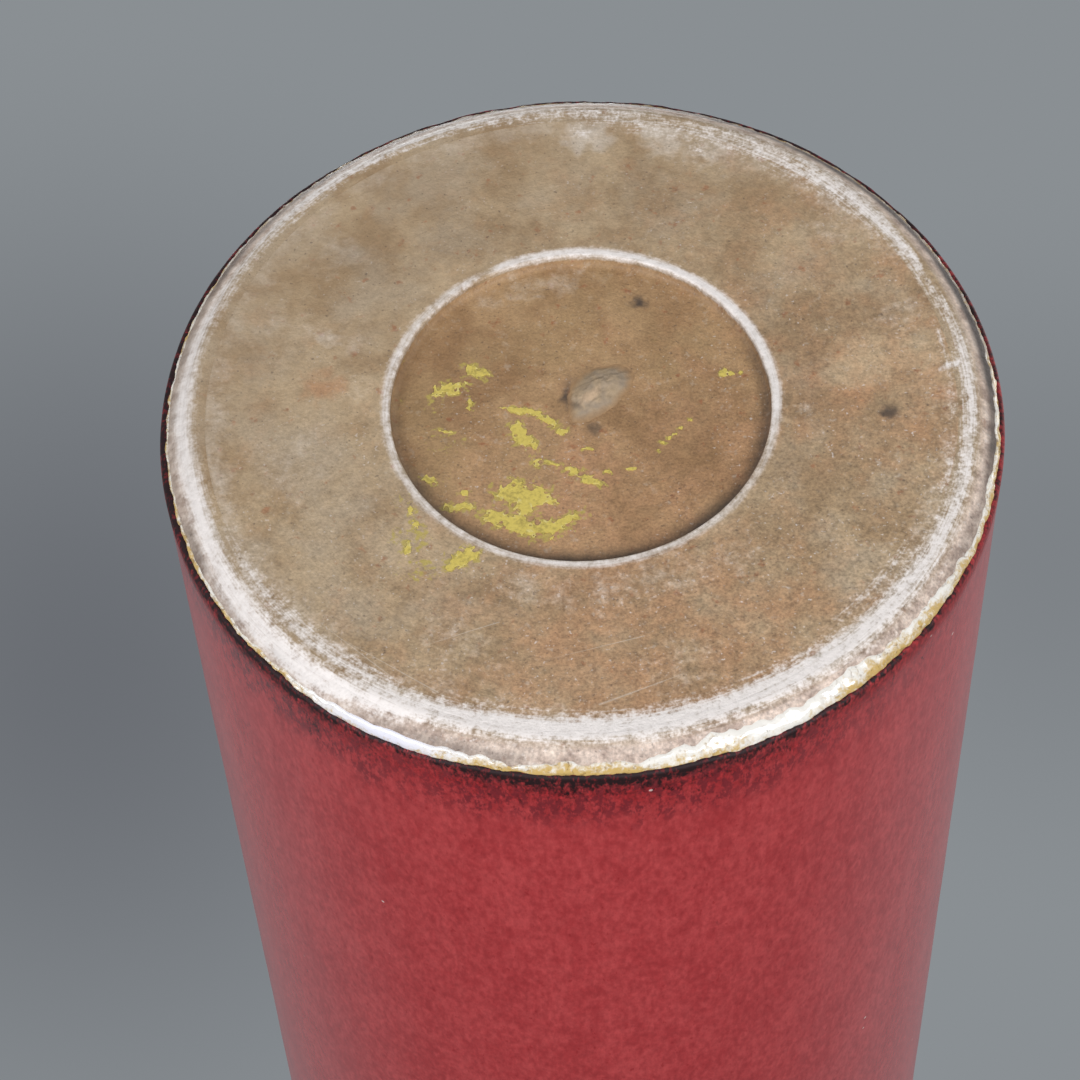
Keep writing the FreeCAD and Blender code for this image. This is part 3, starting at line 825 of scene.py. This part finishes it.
def lump_edge_grime_and_shade(angle, radius):
    """Darkening along the lump's edge, most at its left and near sides: grime and painted shade."""
    middle, half = (LUMP_LOW + LUMP_HIGH) / 2, (LUMP_HIGH - LUMP_LOW) / 2
    across = (radius * cos(angle) - middle.x) / half.x
    back = (radius * sin(angle) - middle.y) / half.y
    off = hypot(across, back) + 0.22 * noise.noise(Vector((across, back, 4.0)) * 2.6) - 1.02
    side = atan2(back, across)
    # Painted shade: this weight makes the darkening heavier on the lump's left and near sides.
    facing = max(0.0, cos(side + radians(12)), 0.45 * cos(2.2 * (side + radians(84))))
    patchy = 0.8 + 0.6 * noise.noise(Vector((across, back, 9.0)) * 2.2)
    return 0.80 * facing * patchy * exp(-(off / 0.20) ** 2)


def warm_at(angle, radius, height):
    """Warmth of the wash: round the ring, and in patches."""
    if radius > LAND_CORNER:
        return 0.0
    in_hollow = 0.37 - 0.35 * radius / HOLLOW_RADIUS * sin(angle + radians(25))
    around = in_hollow if radius < HOLLOW_RADIUS else row_at(angle, WARM_SHARES)[0]
    return max(around, spots_at(angle, radius, WARM_SPOTS))


def lip_at(angle, radius, height):
    """1 where the wear ends softly: on the bare lip round the hollow and at the pot's left side."""
    left = max(0.0, cos(angle)) ** 6 if radius > 0.8 * POT_RADIUS else 0.0
    return max(0.8 * left, 1.0 - abs(radius - RING_INNER) / (2 * MM))


def grit_at(angle, radius, height):
    """How coarse the wash is: most at the near right of the photograph, least at the far left."""
    return 0.5 + 0.5 * min(1.0, radius / (30 * MM)) * cos(angle - radians(232))


def bevelled_at(angle, radius, height):
    """0 on the flat underside, 1 from a little way up the bevel."""
    return clip((radius - LAND_CORNER) / (0.9 * MM))


def haze_at(angle, radius, height):
    """Pale rubbed film over the wash."""
    rim = clip((radius - 0.80 * POT_RADIUS) / (2.6 * MM))
    return max(spots_at(angle, radius, HAZE_SPOTS), row_at(angle, RIM_HAZE_SHARES)[0] * rim)


def tone_at(angle, radius, height):
    """Above 0 where the wash is lighter, below where it is darker."""
    if radius > LAND_CORNER:
        return 0.0
    return 0.13 * (spots_at(angle, radius, LIGHTER_SPOTS) - spots_at(angle, radius, DARKER_SPOTS))


def paint_at(x, y):
    """Above 0 where paint is left at a place on the base, given in metres."""
    best = -1.0
    for across, back, half_length, half_width, tilt, strength in PAINT_SHARES:
        dx, dy = x / PAINT_SPAN - across, y / PAINT_SPAN - back
        if abs(dx) + abs(dy) > 3 * half_length:
            continue
        along = (dx * cos(radians(tilt)) + dy * sin(radians(tilt))) / half_length
        aside = (dy * cos(radians(tilt)) - dx * sin(radians(tilt))) / half_width
        best = max(best, strength - hypot(along, aside))
    if best < -0.9:
        return best
    spot = Vector((x, y, 0)) / MM
    horns = 0.22 - abs(noise.noise(spot * 1.3 + Vector((5, 1, 2))))
    ragged = 0.45 * noise.noise(spot * 0.9) + 1.15 * horns + 0.55 * noise.noise(spot * 2.2)
    return best + ragged + 0.30 * noise.noise(spot * 4.6 + Vector((3, 7, 4)))


def stain_at(angle, radius, height):
    """Thin film of paint round the flakes."""
    near = paint_at(radius * cos(angle), radius * sin(angle))
    return max(spots_at(angle, radius, STAIN_SPOTS), min(0.85, max(0.0, near + 1.15) * 0.80))


def under_face(angle, radius):
    """Height of the washed underside at a place: the hollow's floor or the flat ring."""
    form = bpy.context.scene.pot_form
    x, y = radius * cos(angle) / MM, radius * sin(angle) / MM
    relief_here = noise.noise(Vector((x, y, 0)) * 0.16) + 0.5 * noise.noise(Vector((x, y, 9)) * 0.45)
    relief_here *= form.clay_ripple
    if radius < HOLLOW_RADIUS:
        cove = max(0.0, radius - HOLLOW_RADIUS + form.cove)
        climb = form.cove - sqrt(max(0.0, form.cove ** 2 - cove ** 2))
        return HOLLOW_FACE + relief_here - climb
    from_rim = clip((RING_OUTER - radius) / (2.5 * MM))
    fade = min(from_rim, clip((radius - RING_INNER) / (2 * MM)))
    return max(NEAR, RING_FACE * (0.12 + 0.88 * from_rim) + relief_here * fade)


FOOT_MARKS = {"worn": worn_at, "soot": grime_and_shade_at, "bevelled": bevelled_at, "lip": lip_at, "grit": grit_at}
COAT_MARKS = {"stain": stain_at, "warm": warm_at, "haze": haze_at, "tone": tone_at, **FOOT_MARKS}


class POT_OT_base(bpy.types.Operator):
    """Model the porcelain base with its worn land, bevel and hollow"""

    bl_idname = "brush_pot.base"
    bl_label = "Porcelain Base"

    def execute(self, context):
        lip_round = 0.45 * (RING_INNER - HOLLOW_RADIUS)
        cut = TANGENT_HEIGHT / BEVEL_ALONG.y
        corner_round = cut / tan(BEVEL_OUT.angle(Vector((0, -1))) / 2)
        slope = degrees(atan2(BEVEL_ALONG.y, BEVEL_ALONG.x))
        loop = [(0, HOLLOW_BACK), (HOLLOW_RADIUS / 2, HOLLOW_BACK), (HOLLOW_RADIUS, HOLLOW_BACK)]
        loop += run((HOLLOW_RADIUS, HOLLOW_FACE), (HOLLOW_RADIUS, RING_FACE + lip_round), 6)
        loop += arc((HOLLOW_RADIUS + lip_round, RING_FACE + lip_round), lip_round, 180, 270, 8)
        loop += [(RING_INNER - MM / 20, RING_FACE), (RING_INNER, RING_FACE)]
        loop += [(RING_INNER, RING_BACK), (RING_OUTER, RING_BACK)]
        loop += run((RING_OUTER, 0), (LAND_CORNER - cut, 0), 6)
        loop += arc((LAND_CORNER - cut, corner_round), corner_round, 270, 270 + slope, 8)
        knee = context.scene.pot_form.knee
        steps = 24
        loop += [tuple(skin(cut + (BEVEL_LENGTH * 1.3 - cut) * step / steps, knee)[0])
                 for step in range(1, steps + 1)]
        loop += [(BODY_RADIUS, BASE_TOP), (BODY_RADIUS / 2, BASE_TOP), (0, BASE_TOP)]
        piece = lathe("base_slab", loop)
        mark(piece, **FOOT_MARKS)
        finish_piece(piece, make_finish("bare_foot", wash), "porcelain", "base_disc")
        return {"FINISHED"}


class POT_OT_washes(bpy.types.Operator):
    """Model the iron wash on the ring, in the hollow and on the bevel"""

    bl_idname = "brush_pot.washes"
    bl_label = "Iron Washes"

    def execute(self, context):
        self.ring(make_finish("ring_iron_wash", wash, rustiness=0.6, hairlines=HAIRLINES))
        self.hollow(make_finish("hollow_iron_wash", wash, kind="hollow_", rustiness=0.75))
        self.bevel(context.scene.pot_form, make_finish("bevel_iron_wash", wash))
        return {"FINISHED"}

    def ring(self, material):
        """Flat ring: uneven face, straight back."""
        loop = run((RING_INNER, RING_FACE), (RING_OUTER, RING_FACE), 40)
        loop += [(RING_OUTER, RING_FACE), (RING_OUTER, RING_BACK), (RING_INNER, RING_BACK)]
        piece = lathe("ring_coat", loop)

        def rule(angle, radius, height):
            return radius, height if height > RING_BACK - NEAR else under_face(angle, radius)

        shape(piece, rule)
        mark(piece, **COAT_MARKS)
        finish_piece(piece, material, "iron_wash", "ring_wash")

    def hollow(self, material):
        """Floor of the hollow, coved up at its edge."""
        inner = HOLLOW_RADIUS - 1.2 * MM
        loop = run((0, HOLLOW_FACE), (inner, HOLLOW_FACE), 36)
        loop += run((inner, HOLLOW_FACE), (HOLLOW_RADIUS, HOLLOW_FACE), 10)
        loop += [(HOLLOW_RADIUS, HOLLOW_FACE), (HOLLOW_RADIUS, HOLLOW_BACK), (0, HOLLOW_BACK)]
        piece = lathe("hollow_coat", loop)

        def rule(angle, radius, height):
            if height > HOLLOW_BACK - NEAR:
                return radius, height
            return radius, under_face(angle, min(radius, HOLLOW_RADIUS - SEAM))

        shape(piece, rule)
        mark(piece, **COAT_MARKS)
        finish_piece(piece, material, "iron_wash", "recess_wash")

    def bevel(self, form, material):
        """Thin coat from just above the worn corner up to under the pale run."""
        low = 0.24 * BEVEL_LENGTH
        piece = lathe("bevel_coat", coat_loop(16))

        def rule(angle, lift, way):
            high = max(low + 0.3 * MM, pale_start(angle, form) + 0.12 * MM)
            spot, out = skin(low + (high - low) * way, form.knee)
            thick = form.bevel_coat * min(1.0, way / 0.25, 0.2 + (1 - way) / 0.15)
            return spot + out * thick * (lift - 1)

        shape(piece, rule)
        mark(piece, **COAT_MARKS)
        finish_piece(piece, material, "bevel_wash", "bevel_wash")


def red_start(angle, form):
    """Way up the bevel and wall to the red coat's lower edge."""
    stray = wave(angle, 6.0, 11.0) + 0.6 * wave(angle, 17.0, 23.0) + 0.35 * wave(angle, 45.0, 31.0)
    return row_at(angle, GLAZE_EDGE_SHARES)[0] * BEVEL_LENGTH + stray * form.wander


def painted_highlight_at(angle, radius=0.0, height=0.0):
    """1 at the near left, where the pale run is smoothed and painted with a cool-white highlight."""
    return exp(-((degrees(angle) % 360 - 298) / 9) ** 2)


def pale_start(angle, form):
    """Way up the bevel to where the pale run begins."""
    stray = 1.0 * wave(angle, 8.0, 41.0) + 1.7 * wave(angle, 24.0, 53.0) + 0.9 * wave(angle, 52.0, 61.0)
    stray *= form.wander * (1 - 0.75 * painted_highlight_at(angle))
    width = row_at(angle, GLAZE_EDGE_SHARES)[1] * BEVEL_LENGTH
    return red_start(angle, form) - max(0.02 * MM, width + stray * min(1.0, width / (0.6 * MM)))


class POT_OT_glazes(bpy.types.Operator):
    """Model the red coat with its rolled edge and the pale run under it"""

    bl_idname = "brush_pot.glazes"
    bl_label = "Red and Pale Glaze"

    def execute(self, context):
        form = context.scene.pot_form
        self.red(form, make_finish("copper_red_glaze", red_glaze))
        self.pale(form, make_finish("pale_run_glaze", pale_run))
        return {"FINISHED"}

    def red(self, form, material):
        """Coat on the wall: dense rings at the rolled edge, wider ones above."""
        top = BEVEL_LENGTH + GLAZE_TOP - BEVEL_TOP
        rings = [form.roll * (1 - cos(radians(15 * i))) for i in range(7)]
        rings += [form.roll + 0.3 * MM * 1.32 ** i for i in range(12)]
        steps = 44
        rings += [rings[-1] + (top - rings[-1]) * (i + 1) / steps for i in range(steps)]
        back_rings = (len(rings) - 1, 22, 17, 14, 11, 8, 5, 0)
        # The face lies at 2 and the back at 1, each at a tenth of its ring's number.
        loop = [(2, i / 10) for i in range(len(rings))] + [(1, i / 10) for i in back_rings]
        piece = lathe("red_coat", loop)

        def rule(angle, lift, ring):
            first, way = red_start(angle, form), rings[round(ring * 10)]
            along = first + way - first * way / top
            spot, out = skin(along, form.knee)
            rounded = 1 - clip(way / form.roll)
            thick = (COAT + form.swell * (1 - clip(way / form.roll_fade))) * sqrt(1 - rounded ** 2)
            ripple = wave(angle, 9.0, 71.0, spot.y / (12 * MM))
            ripple += 0.5 * wave(angle, 26.0, 83.0, spot.y / (4 * MM))
            thick += form.ripple * (ripple - 0.4) * clip(min(way / (2 * MM), (top - along) / (8 * MM)))
            return spot + out * thick * (lift - 1)

        def above_edge(angle, radius, height):
            return height - skin(red_start(angle, form), form.knee)[0].y

        def pool(angle, radius, height):
            return row_at(angle, GLAZE_EDGE_SHARES)[2]

        shape(piece, rule)
        mark(piece, above_edge=above_edge, pool=pool)
        finish_piece(piece, material, "red_glaze", "red_glaze")

    def pale(self, form, material):
        """Thin run between the bevel's wash and the red coat's edge."""
        piece = lathe("pale_run", coat_loop(12))
        mark(piece, across=lambda angle, lift, way: way)

        def rule(angle, lift, way):
            low, high = pale_start(angle, form), red_start(angle, form) + 0.15 * MM
            spot, out = skin(low + (high - low) * way, form.knee)
            rounded = 1 - min(1.0, way / 0.35)
            beads = wave(angle, 34.0, 7.0, way * 2) + 0.8 * wave(angle, 80.0, 9.0, way * 4)
            beads *= 1 - 0.7 * painted_highlight_at(angle)
            thick = form.pale_coat * sqrt(1 - rounded ** 2) * (0.90 + 0.62 * beads)
            return spot + out * thick * (lift - 1)

        def ochre(angle, radius, height):
            place = degrees(angle) % 360
            # White zones: real white glaze near 247 degrees, and painted highlight near 298 degrees.
            white = exp(-((place - 247) / 14) ** 2) + exp(-((place - 298) / 10) ** 2)
            return 0.75 - 0.58 * white + 0.45 * wave(angle, 9.0, 91.0)

        def soot(angle, radius, height):
            return row_at(angle, SOOT_SHARES)[0] * (0.5 + 0.5 * sin(angle))

        shape(piece, rule)
        mark(piece, ochre=ochre, glassy=painted_highlight_at, soot=soot)
        finish_piece(piece, material, "pale_edge_glaze", "pale_glaze_edge")


class POT_OT_mouth(bpy.types.Operator):
    """Model the pale lip and the lining"""

    bl_idname = "brush_pot.mouth"
    bl_label = "Lip and Lining"

    def execute(self, context):
        self.lip(make_finish("lip_pale_glaze", white_glaze, tint="pale_glaze", crackle=5.0))
        self.lining(make_finish("lining_white_glaze", white_glaze, tint="lining", crackle=9.0))
        return {"FINISHED"}

    def lip(self, material):
        """Coat over the rim."""
        outer_centre = (BODY_RADIUS - RIM_ROUND, BODY_TOP - RIM_ROUND)
        inner_centre = (BORE_RADIUS + RIM_ROUND, BODY_TOP - RIM_ROUND)
        outer_top = (outer_centre[0], POT_TOP - COAT - RIM_ROUND)
        inner_top = (inner_centre[0], POT_TOP - LINING - RIM_ROUND)
        loop = run((GLAZED_RADIUS, GLAZE_TOP), (GLAZED_RADIUS, outer_top[1]), 3)
        loop += arc(outer_top, RIM_ROUND + COAT, 0, 90, 12)
        loop += arc(inner_top, RIM_ROUND + LINING, 90, 180, 12)
        loop += run((LINED_RADIUS, inner_top[1]), (LINED_RADIUS, GLAZE_TOP), 3)[1:]
        loop += [(LINED_RADIUS, GLAZE_TOP), (BORE_RADIUS, GLAZE_TOP)]
        loop += arc(inner_centre, RIM_ROUND, 180, 90, 8)
        loop += arc(outer_centre, RIM_ROUND, 90, 0, 8) + [(BODY_RADIUS, GLAZE_TOP)]
        piece = lathe("lip_coat", loop)

        def rule(angle, radius, height):
            lift = max(0.0, (height - BODY_TOP) / COAT)
            return radius, height - 0.05 * MM * lift * (1 + wave(angle, 4.0, 17.0))

        shape(piece, rule)
        finish_piece(piece, material, "lip_glaze", "lip_glaze")

    def lining(self, material):
        """Coat on the wall and floor inside, over the slip in the corner."""
        floor = BASE_TOP + LINING
        centre = (BORE_RADIUS - FILLET, BASE_TOP + FILLET)
        loop = run((0, floor), (centre[0], floor), 14)
        loop += arc(centre, FILLET - LINING, -90, 0, 10)
        loop += run((LINED_RADIUS, centre[1]), (LINED_RADIUS, GLAZE_TOP), 40)[1:]
        loop += [(LINED_RADIUS, GLAZE_TOP), (BORE_RADIUS, GLAZE_TOP)]
        loop += arc(centre, FILLET, 0, -90, 10) + [(0, BASE_TOP)]
        piece = lathe("lining_coat", loop)

        def rule(angle, radius, height):
            if radius > LINED_RADIUS + NEAR or not floor + NEAR < height < GLAZE_TOP - MM:
                return radius, height
            rings = 0.06 * MM * sin(height / (2.1 * MM) + angle / 2)
            rings += 0.04 * MM * wave(angle, 5.0, 5.0, height / (15 * MM))
            return radius + max(-0.5 * LINING, min(0.5 * LINING, rings)), height

        shape(piece, rule)
        finish_piece(piece, material, "lining_glaze", "lining_glaze")


class POT_OT_lump(bpy.types.Operator):
    """Model the clay lump in the hollow"""

    bl_idname = "brush_pot.lump"
    bl_label = "Clay Lump"

    def execute(self, context):
        middle, half = (LUMP_LOW + LUMP_HIGH) / 2, (LUMP_HIGH - LUMP_LOW) / 2
        tall = LUMP_HIGH.z - LUMP_LOW.z
        piece = begin("clay_lump", bpy.ops.mesh.primitive_ico_sphere_add, subdivisions=6, radius=1)
        bpy.ops.object.mode_set(mode="EDIT")
        bpy.ops.mesh.select_all(action="SELECT")
        bpy.ops.mesh.bisect(plane_co=(0, 0, 0.06), plane_no=(0, 0, 1), use_fill=True, clear_outer=True)
        bpy.ops.object.mode_set(mode="OBJECT")
        crest = Vector((cos(radians(138)), sin(radians(138)), 0))
        side = Vector((-crest.y, crest.x, 0))
        for vertex in piece.data.vertices:
            flat = vertex.co * Vector((1, 1, 0))
            edge = 1.10 + 0.22 * noise.noise(flat * 1.5 + Vector((3, 8, 1))) + 0.06 * noise.noise(flat * 5)
            along, aside = flat.dot(crest), flat.dot(side)
            bend = crest * along * half.x * 1.20 + side * (aside + 0.10 * along * along) * half.y * 0.88
            mound = max(0.0, 1 - flat.length_squared) ** 1.5
            ridge = 1 - 0.30 * min(1.0, abs(aside) * 1.5)
            lumpy = 0.84 + 0.32 * noise.noise(flat * 1.9) + 0.20 * noise.noise(flat * 4.4)
            lumpy += 0.08 * noise.noise(flat * 10)
            height = LUMP_HIGH.z - min(1.0, 1.35 * mound * ridge * lumpy) * tall
            if vertex.co.z > 0:
                height = LUMP_HIGH.z + 0.06 * MM
            vertex.co = (middle.x + bend.x * edge, middle.y + bend.y * edge, height)

        def fade(angle, radius, height):
            return max(0.0, 1.0 - 3.4 * (LUMP_HIGH.z - height) / tall)

        # Painted highlight: a lighter band along the lump's crest, towards one end.
        def crest_highlight_at(angle, radius, height):
            off = Vector((radius * cos(angle) - middle.x, radius * sin(angle) - middle.y, 0))
            along, aside = off.dot(crest) / half.x, off.dot(side) / half.y
            return exp(-((aside - 0.11) / 0.24) ** 2 - ((along + 0.42) / 0.52) ** 2)

        # Grime spots, and grime with painted shade round the lump's edge.
        def rim_grime_and_shade(angle, radius, height):
            return max(spots_at(angle, radius, DIRT_SPOTS), 0.9 * lump_edge_grime_and_shade(angle, radius))

        mark(piece, fade=fade, crest=crest_highlight_at, soot=rim_grime_and_shade)
        material = make_finish("lump_clay", clay, light="lump_pale", dark="lump_grey")
        finish_piece(piece, material, "clay_lump", "centre_nipple")
        return {"FINISHED"}


class POT_OT_paint(bpy.types.Operator):
    """Cut the ragged flakes of old paint out of a fine grid"""

    bl_idname = "brush_pot.paint"
    bl_label = "Paint Flakes"

    def execute(self, context):
        form = context.scene.pot_form
        low, high = Vector((-0.90, -1.10)) * PAINT_SPAN, Vector((0.98, 0.40)) * PAINT_SPAN
        size = high - low
        across, back = round(size.x / form.paint_grain), round(size.y / form.paint_grain)
        piece = begin("paint_flake_group", bpy.ops.mesh.primitive_grid_add,
                      x_subdivisions=across, y_subdivisions=back, size=1, location=(0, 0, 0))
        for vertex in piece.data.vertices:
            vertex.co = (low.x + (vertex.co.x + 0.5) * size.x, low.y + (vertex.co.y + 0.5) * size.y, 0)
        bpy.ops.object.mode_set(mode="EDIT")
        bpy.ops.mesh.select_mode(type="FACE")
        bpy.ops.mesh.select_all(action="DESELECT")
        bpy.ops.object.mode_set(mode="OBJECT")
        for face in piece.data.polygons:
            x, y = face.center.xy
            over_lip = HOLLOW_RADIUS - 0.6 * MM < hypot(x, y) < RING_INNER + 0.1 * MM
            face.select = over_lip or paint_at(x, y) < 0
        bpy.ops.object.mode_set(mode="EDIT")
        bpy.ops.mesh.delete(type="FACE")
        bpy.ops.mesh.select_all(action="SELECT")
        bpy.ops.mesh.vertices_smooth(factor=0.5, repeat=4)
        bpy.ops.object.mode_set(mode="OBJECT")
        for vertex in piece.data.vertices:
            vertex.co.z = max(form.paint, under_face(*polar(vertex)[:2]) - MM / 200)
        mark(piece, rim=self.rim_at)
        thicken = piece.modifiers.new("thickness", "SOLIDIFY")
        thicken.thickness, thicken.offset = form.paint, -1.0
        bpy.ops.object.modifier_apply(modifier=thicken.name)
        finish_piece(piece, make_finish("old_yellow_paint", paint), "yellow_paint", "paint_flakes")
        return {"FINISHED"}

    def rim_at(self, angle, radius, height):
        """1 along a flake's edge, 0 inside it."""
        return max(0.0, 1.0 - abs(paint_at(radius * cos(angle), radius * sin(angle))) / 0.18)


class POT_OT_body(bpy.types.Operator):
    """Give the porcelain wall and the slip inside it their finish"""

    bl_idname = "brush_pot.body"
    bl_label = "Porcelain Wall"

    def execute(self, context):
        material = make_finish("fired_porcelain", clay, light="porcelain", dark="bevel_tan")
        for name in ("wall_cylinder", "slip_fillet"):
            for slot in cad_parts[name].material_slots:
                slot.material = material
        return {"FINISHED"}


def add_lamp(name, direction, distance, width, height, power, tint=(1, 1, 1)):
    """A soft square lamp that faces the pot and isn't seen itself."""
    data = bpy.data.lights.new(name, "AREA")
    data.shape = "RECTANGLE"
    data.size, data.size_y, data.energy, data.color = width, height, power, tint
    lamp = bpy.data.objects.new(name, data)
    bpy.context.scene.collection.objects.link(lamp)
    lamp.location = Vector(direction).normalized() * distance
    lamp.rotation_euler = Vector(direction).to_track_quat("Z", "Y").to_euler()
    lamp.visible_camera = False


class POT_OT_stage(bpy.types.Operator):
    """Set the floor, the surround, the lamps and the camera"""

    bl_idname = "brush_pot.stage"
    bl_label = "Stage"

    def execute(self, context):
        studio = context.scene.pot_studio
        context.scene.view_settings.view_transform = "Standard"
        self.floor(studio)
        self.surround(context, studio)
        cool = (0.93, 0.94, 1.0)
        add_lamp("left_softbox", (0.62, -0.55, -0.48), 0.9, 0.60, 0.36, 4.3, cool)
        add_lamp("right_softbox", (-0.52, -0.61, -0.50), 0.9, 0.42, 0.36, 4.6, cool)
        add_lamp("top_softbox", (0.10, 0.85, 0.36), 1.0, 0.5, 0.4, 4.0)
        add_lamp("back_softbox", (-0.80, 0.75, 0.30), 1.0, 0.6, 0.8, 3.0)
        self.camera(context, studio)
        return {"FINISHED"}

    def floor(self, studio):
        """Pale floor, seen from above only, so that the base can be looked at from below."""
        def plain(tree, colours):
            grain = mottling(tree)(60.0, 3.0)
            return {"Base Color": shade(studio.floor, grain * 0.04 + 0.98), "Roughness": 0.9}

        bpy.ops.object.select_all(action="DESELECT")
        bpy.ops.mesh.primitive_plane_add(size=12)
        plane = bpy.context.object
        plane.name = "floor"
        material = make_finish("pale_floor", plain)
        nodes = material.node_tree.nodes
        clear = put(material.node_tree, "BsdfTransparent", {})
        under = put(material.node_tree, "NewGeometry", {})["Backfacing"]
        both = put(material.node_tree, "MixShader", {0: under, 1: Wire(nodes["Principled BSDF"]), 2: clear})
        feed(nodes["Material Output"], {"Surface": both})
        plane.data.materials.append(material)
        plane.visible_shadow = plane.visible_diffuse = plane.visible_glossy = False

    def surround(self, context, studio):
        """Even light from all round; the eye and reflections see a backdrop that darkens overhead."""
        world = bpy.data.worlds.new("surround")
        context.scene.world = world
        world.use_nodes = True
        tree = world.node_tree
        tree.nodes.clear()
        place = put(tree, "TexCoord", {})["Generated"]
        low_left, low_right = (0.155, 0.54, 0.828), (-0.145, 0.56, 0.815)
        off_left = vector("DISTANCE", place, low_left)["Value"]
        off_right = vector("DISTANCE", place, low_right)["Value"]
        shaded = rise(off_left, 0.20, 0.0) * 0.85 + rise(off_right, 0.12, 0.0) * 0.36
        across = put(tree, "SeparateXYZ", {0: place})["Y"]
        backdrop = shade(mix(shaded, studio.backdrop, studio.shadow), rise(across, -0.35, 0.15) * 0.65 + 0.35)
        seen = put(tree, "Background", {"Color": backdrop, "Strength": 1.0})
        light = put(tree, "Background", {"Color": (1, 1, 1, 1), "Strength": studio.sky})
        rays = put(tree, "LightPath", {})
        looking = maths("MAXIMUM", rays["Is Camera Ray"], rays["Is Glossy Ray"])
        looking = maths("MAXIMUM", looking, rays["Is Transmission Ray"])
        put(tree, "OutputWorld", {"Surface": put(tree, "MixShader", {0: looking, 1: light, 2: seen})})

    def camera(self, context, studio):
        """The photograph's view: from below the base, which faces the camera, with the mouth away from it."""
        data = bpy.data.cameras.new("camera")
        data.sensor_width, data.lens = 36.0, studio.lens
        data.clip_start, data.clip_end = MM, 100.0
        camera = bpy.data.objects.new("camera", data)
        context.scene.collection.objects.link(camera)
        context.scene.camera = camera
        across, along = sin(studio.tilt), cos(studio.tilt)
        right, up, back = Vector((-1, 0, 0)), Vector((0, along, -across)), Vector((0, -across, -along))
        facing = Matrix((right, up, back)).transposed().to_4x4()
        framing = Matrix.Rotation(studio.turn_side, 4, "Y") @ Matrix.Rotation(studio.turn_up, 4, "X")
        framing = framing @ Matrix.Rotation(studio.roll, 4, "Z")
        camera.matrix_world = Matrix.Translation(back * studio.distance) @ facing @ framing


class POT_PT_panel(bpy.types.Panel):
    """Lists the steps that build the pot"""

    bl_idname = "POT_PT_panel"
    bl_label = "Brush Pot"
    bl_space_type = "VIEW_3D"
    bl_region_type = "UI"
    bl_category = "Brush Pot"

    def draw(self, context):
        for step in STEPS:
            self.layout.operator(step.bl_idname)
        for name, kind in GROUPS.items():
            for key in kind.__annotations__:
                self.layout.prop(getattr(context.scene, name), key)


STEPS = (POT_OT_base, POT_OT_washes, POT_OT_glazes, POT_OT_mouth, POT_OT_lump, POT_OT_paint,
         POT_OT_body, POT_OT_stage)
GROUPS = {"pot_form": PotForm, "pot_colours": PotColours, "pot_studio": Studio}
CLASSES = (*GROUPS.values(), *STEPS, POT_PT_panel)


def register():
    """Make the steps, the panel and their settings known."""
    for kind in CLASSES:
        bpy.utils.register_class(kind)
    for name, kind in GROUPS.items():
        setattr(bpy.types.Scene, name, PointerProperty(type=kind))


def unregister():
    """Take the settings, the panel and the steps away again."""
    for name in GROUPS:
        delattr(bpy.types.Scene, name)
    for kind in reversed(CLASSES):
        bpy.utils.unregister_class(kind)


def main():
    """Build everything in order."""
    register()
    make_groups()
    for step in STEPS:
        group, name = step.bl_idname.split(".")
        getattr(getattr(bpy.ops, group), name)()


if __name__ == "__main__":
    main()
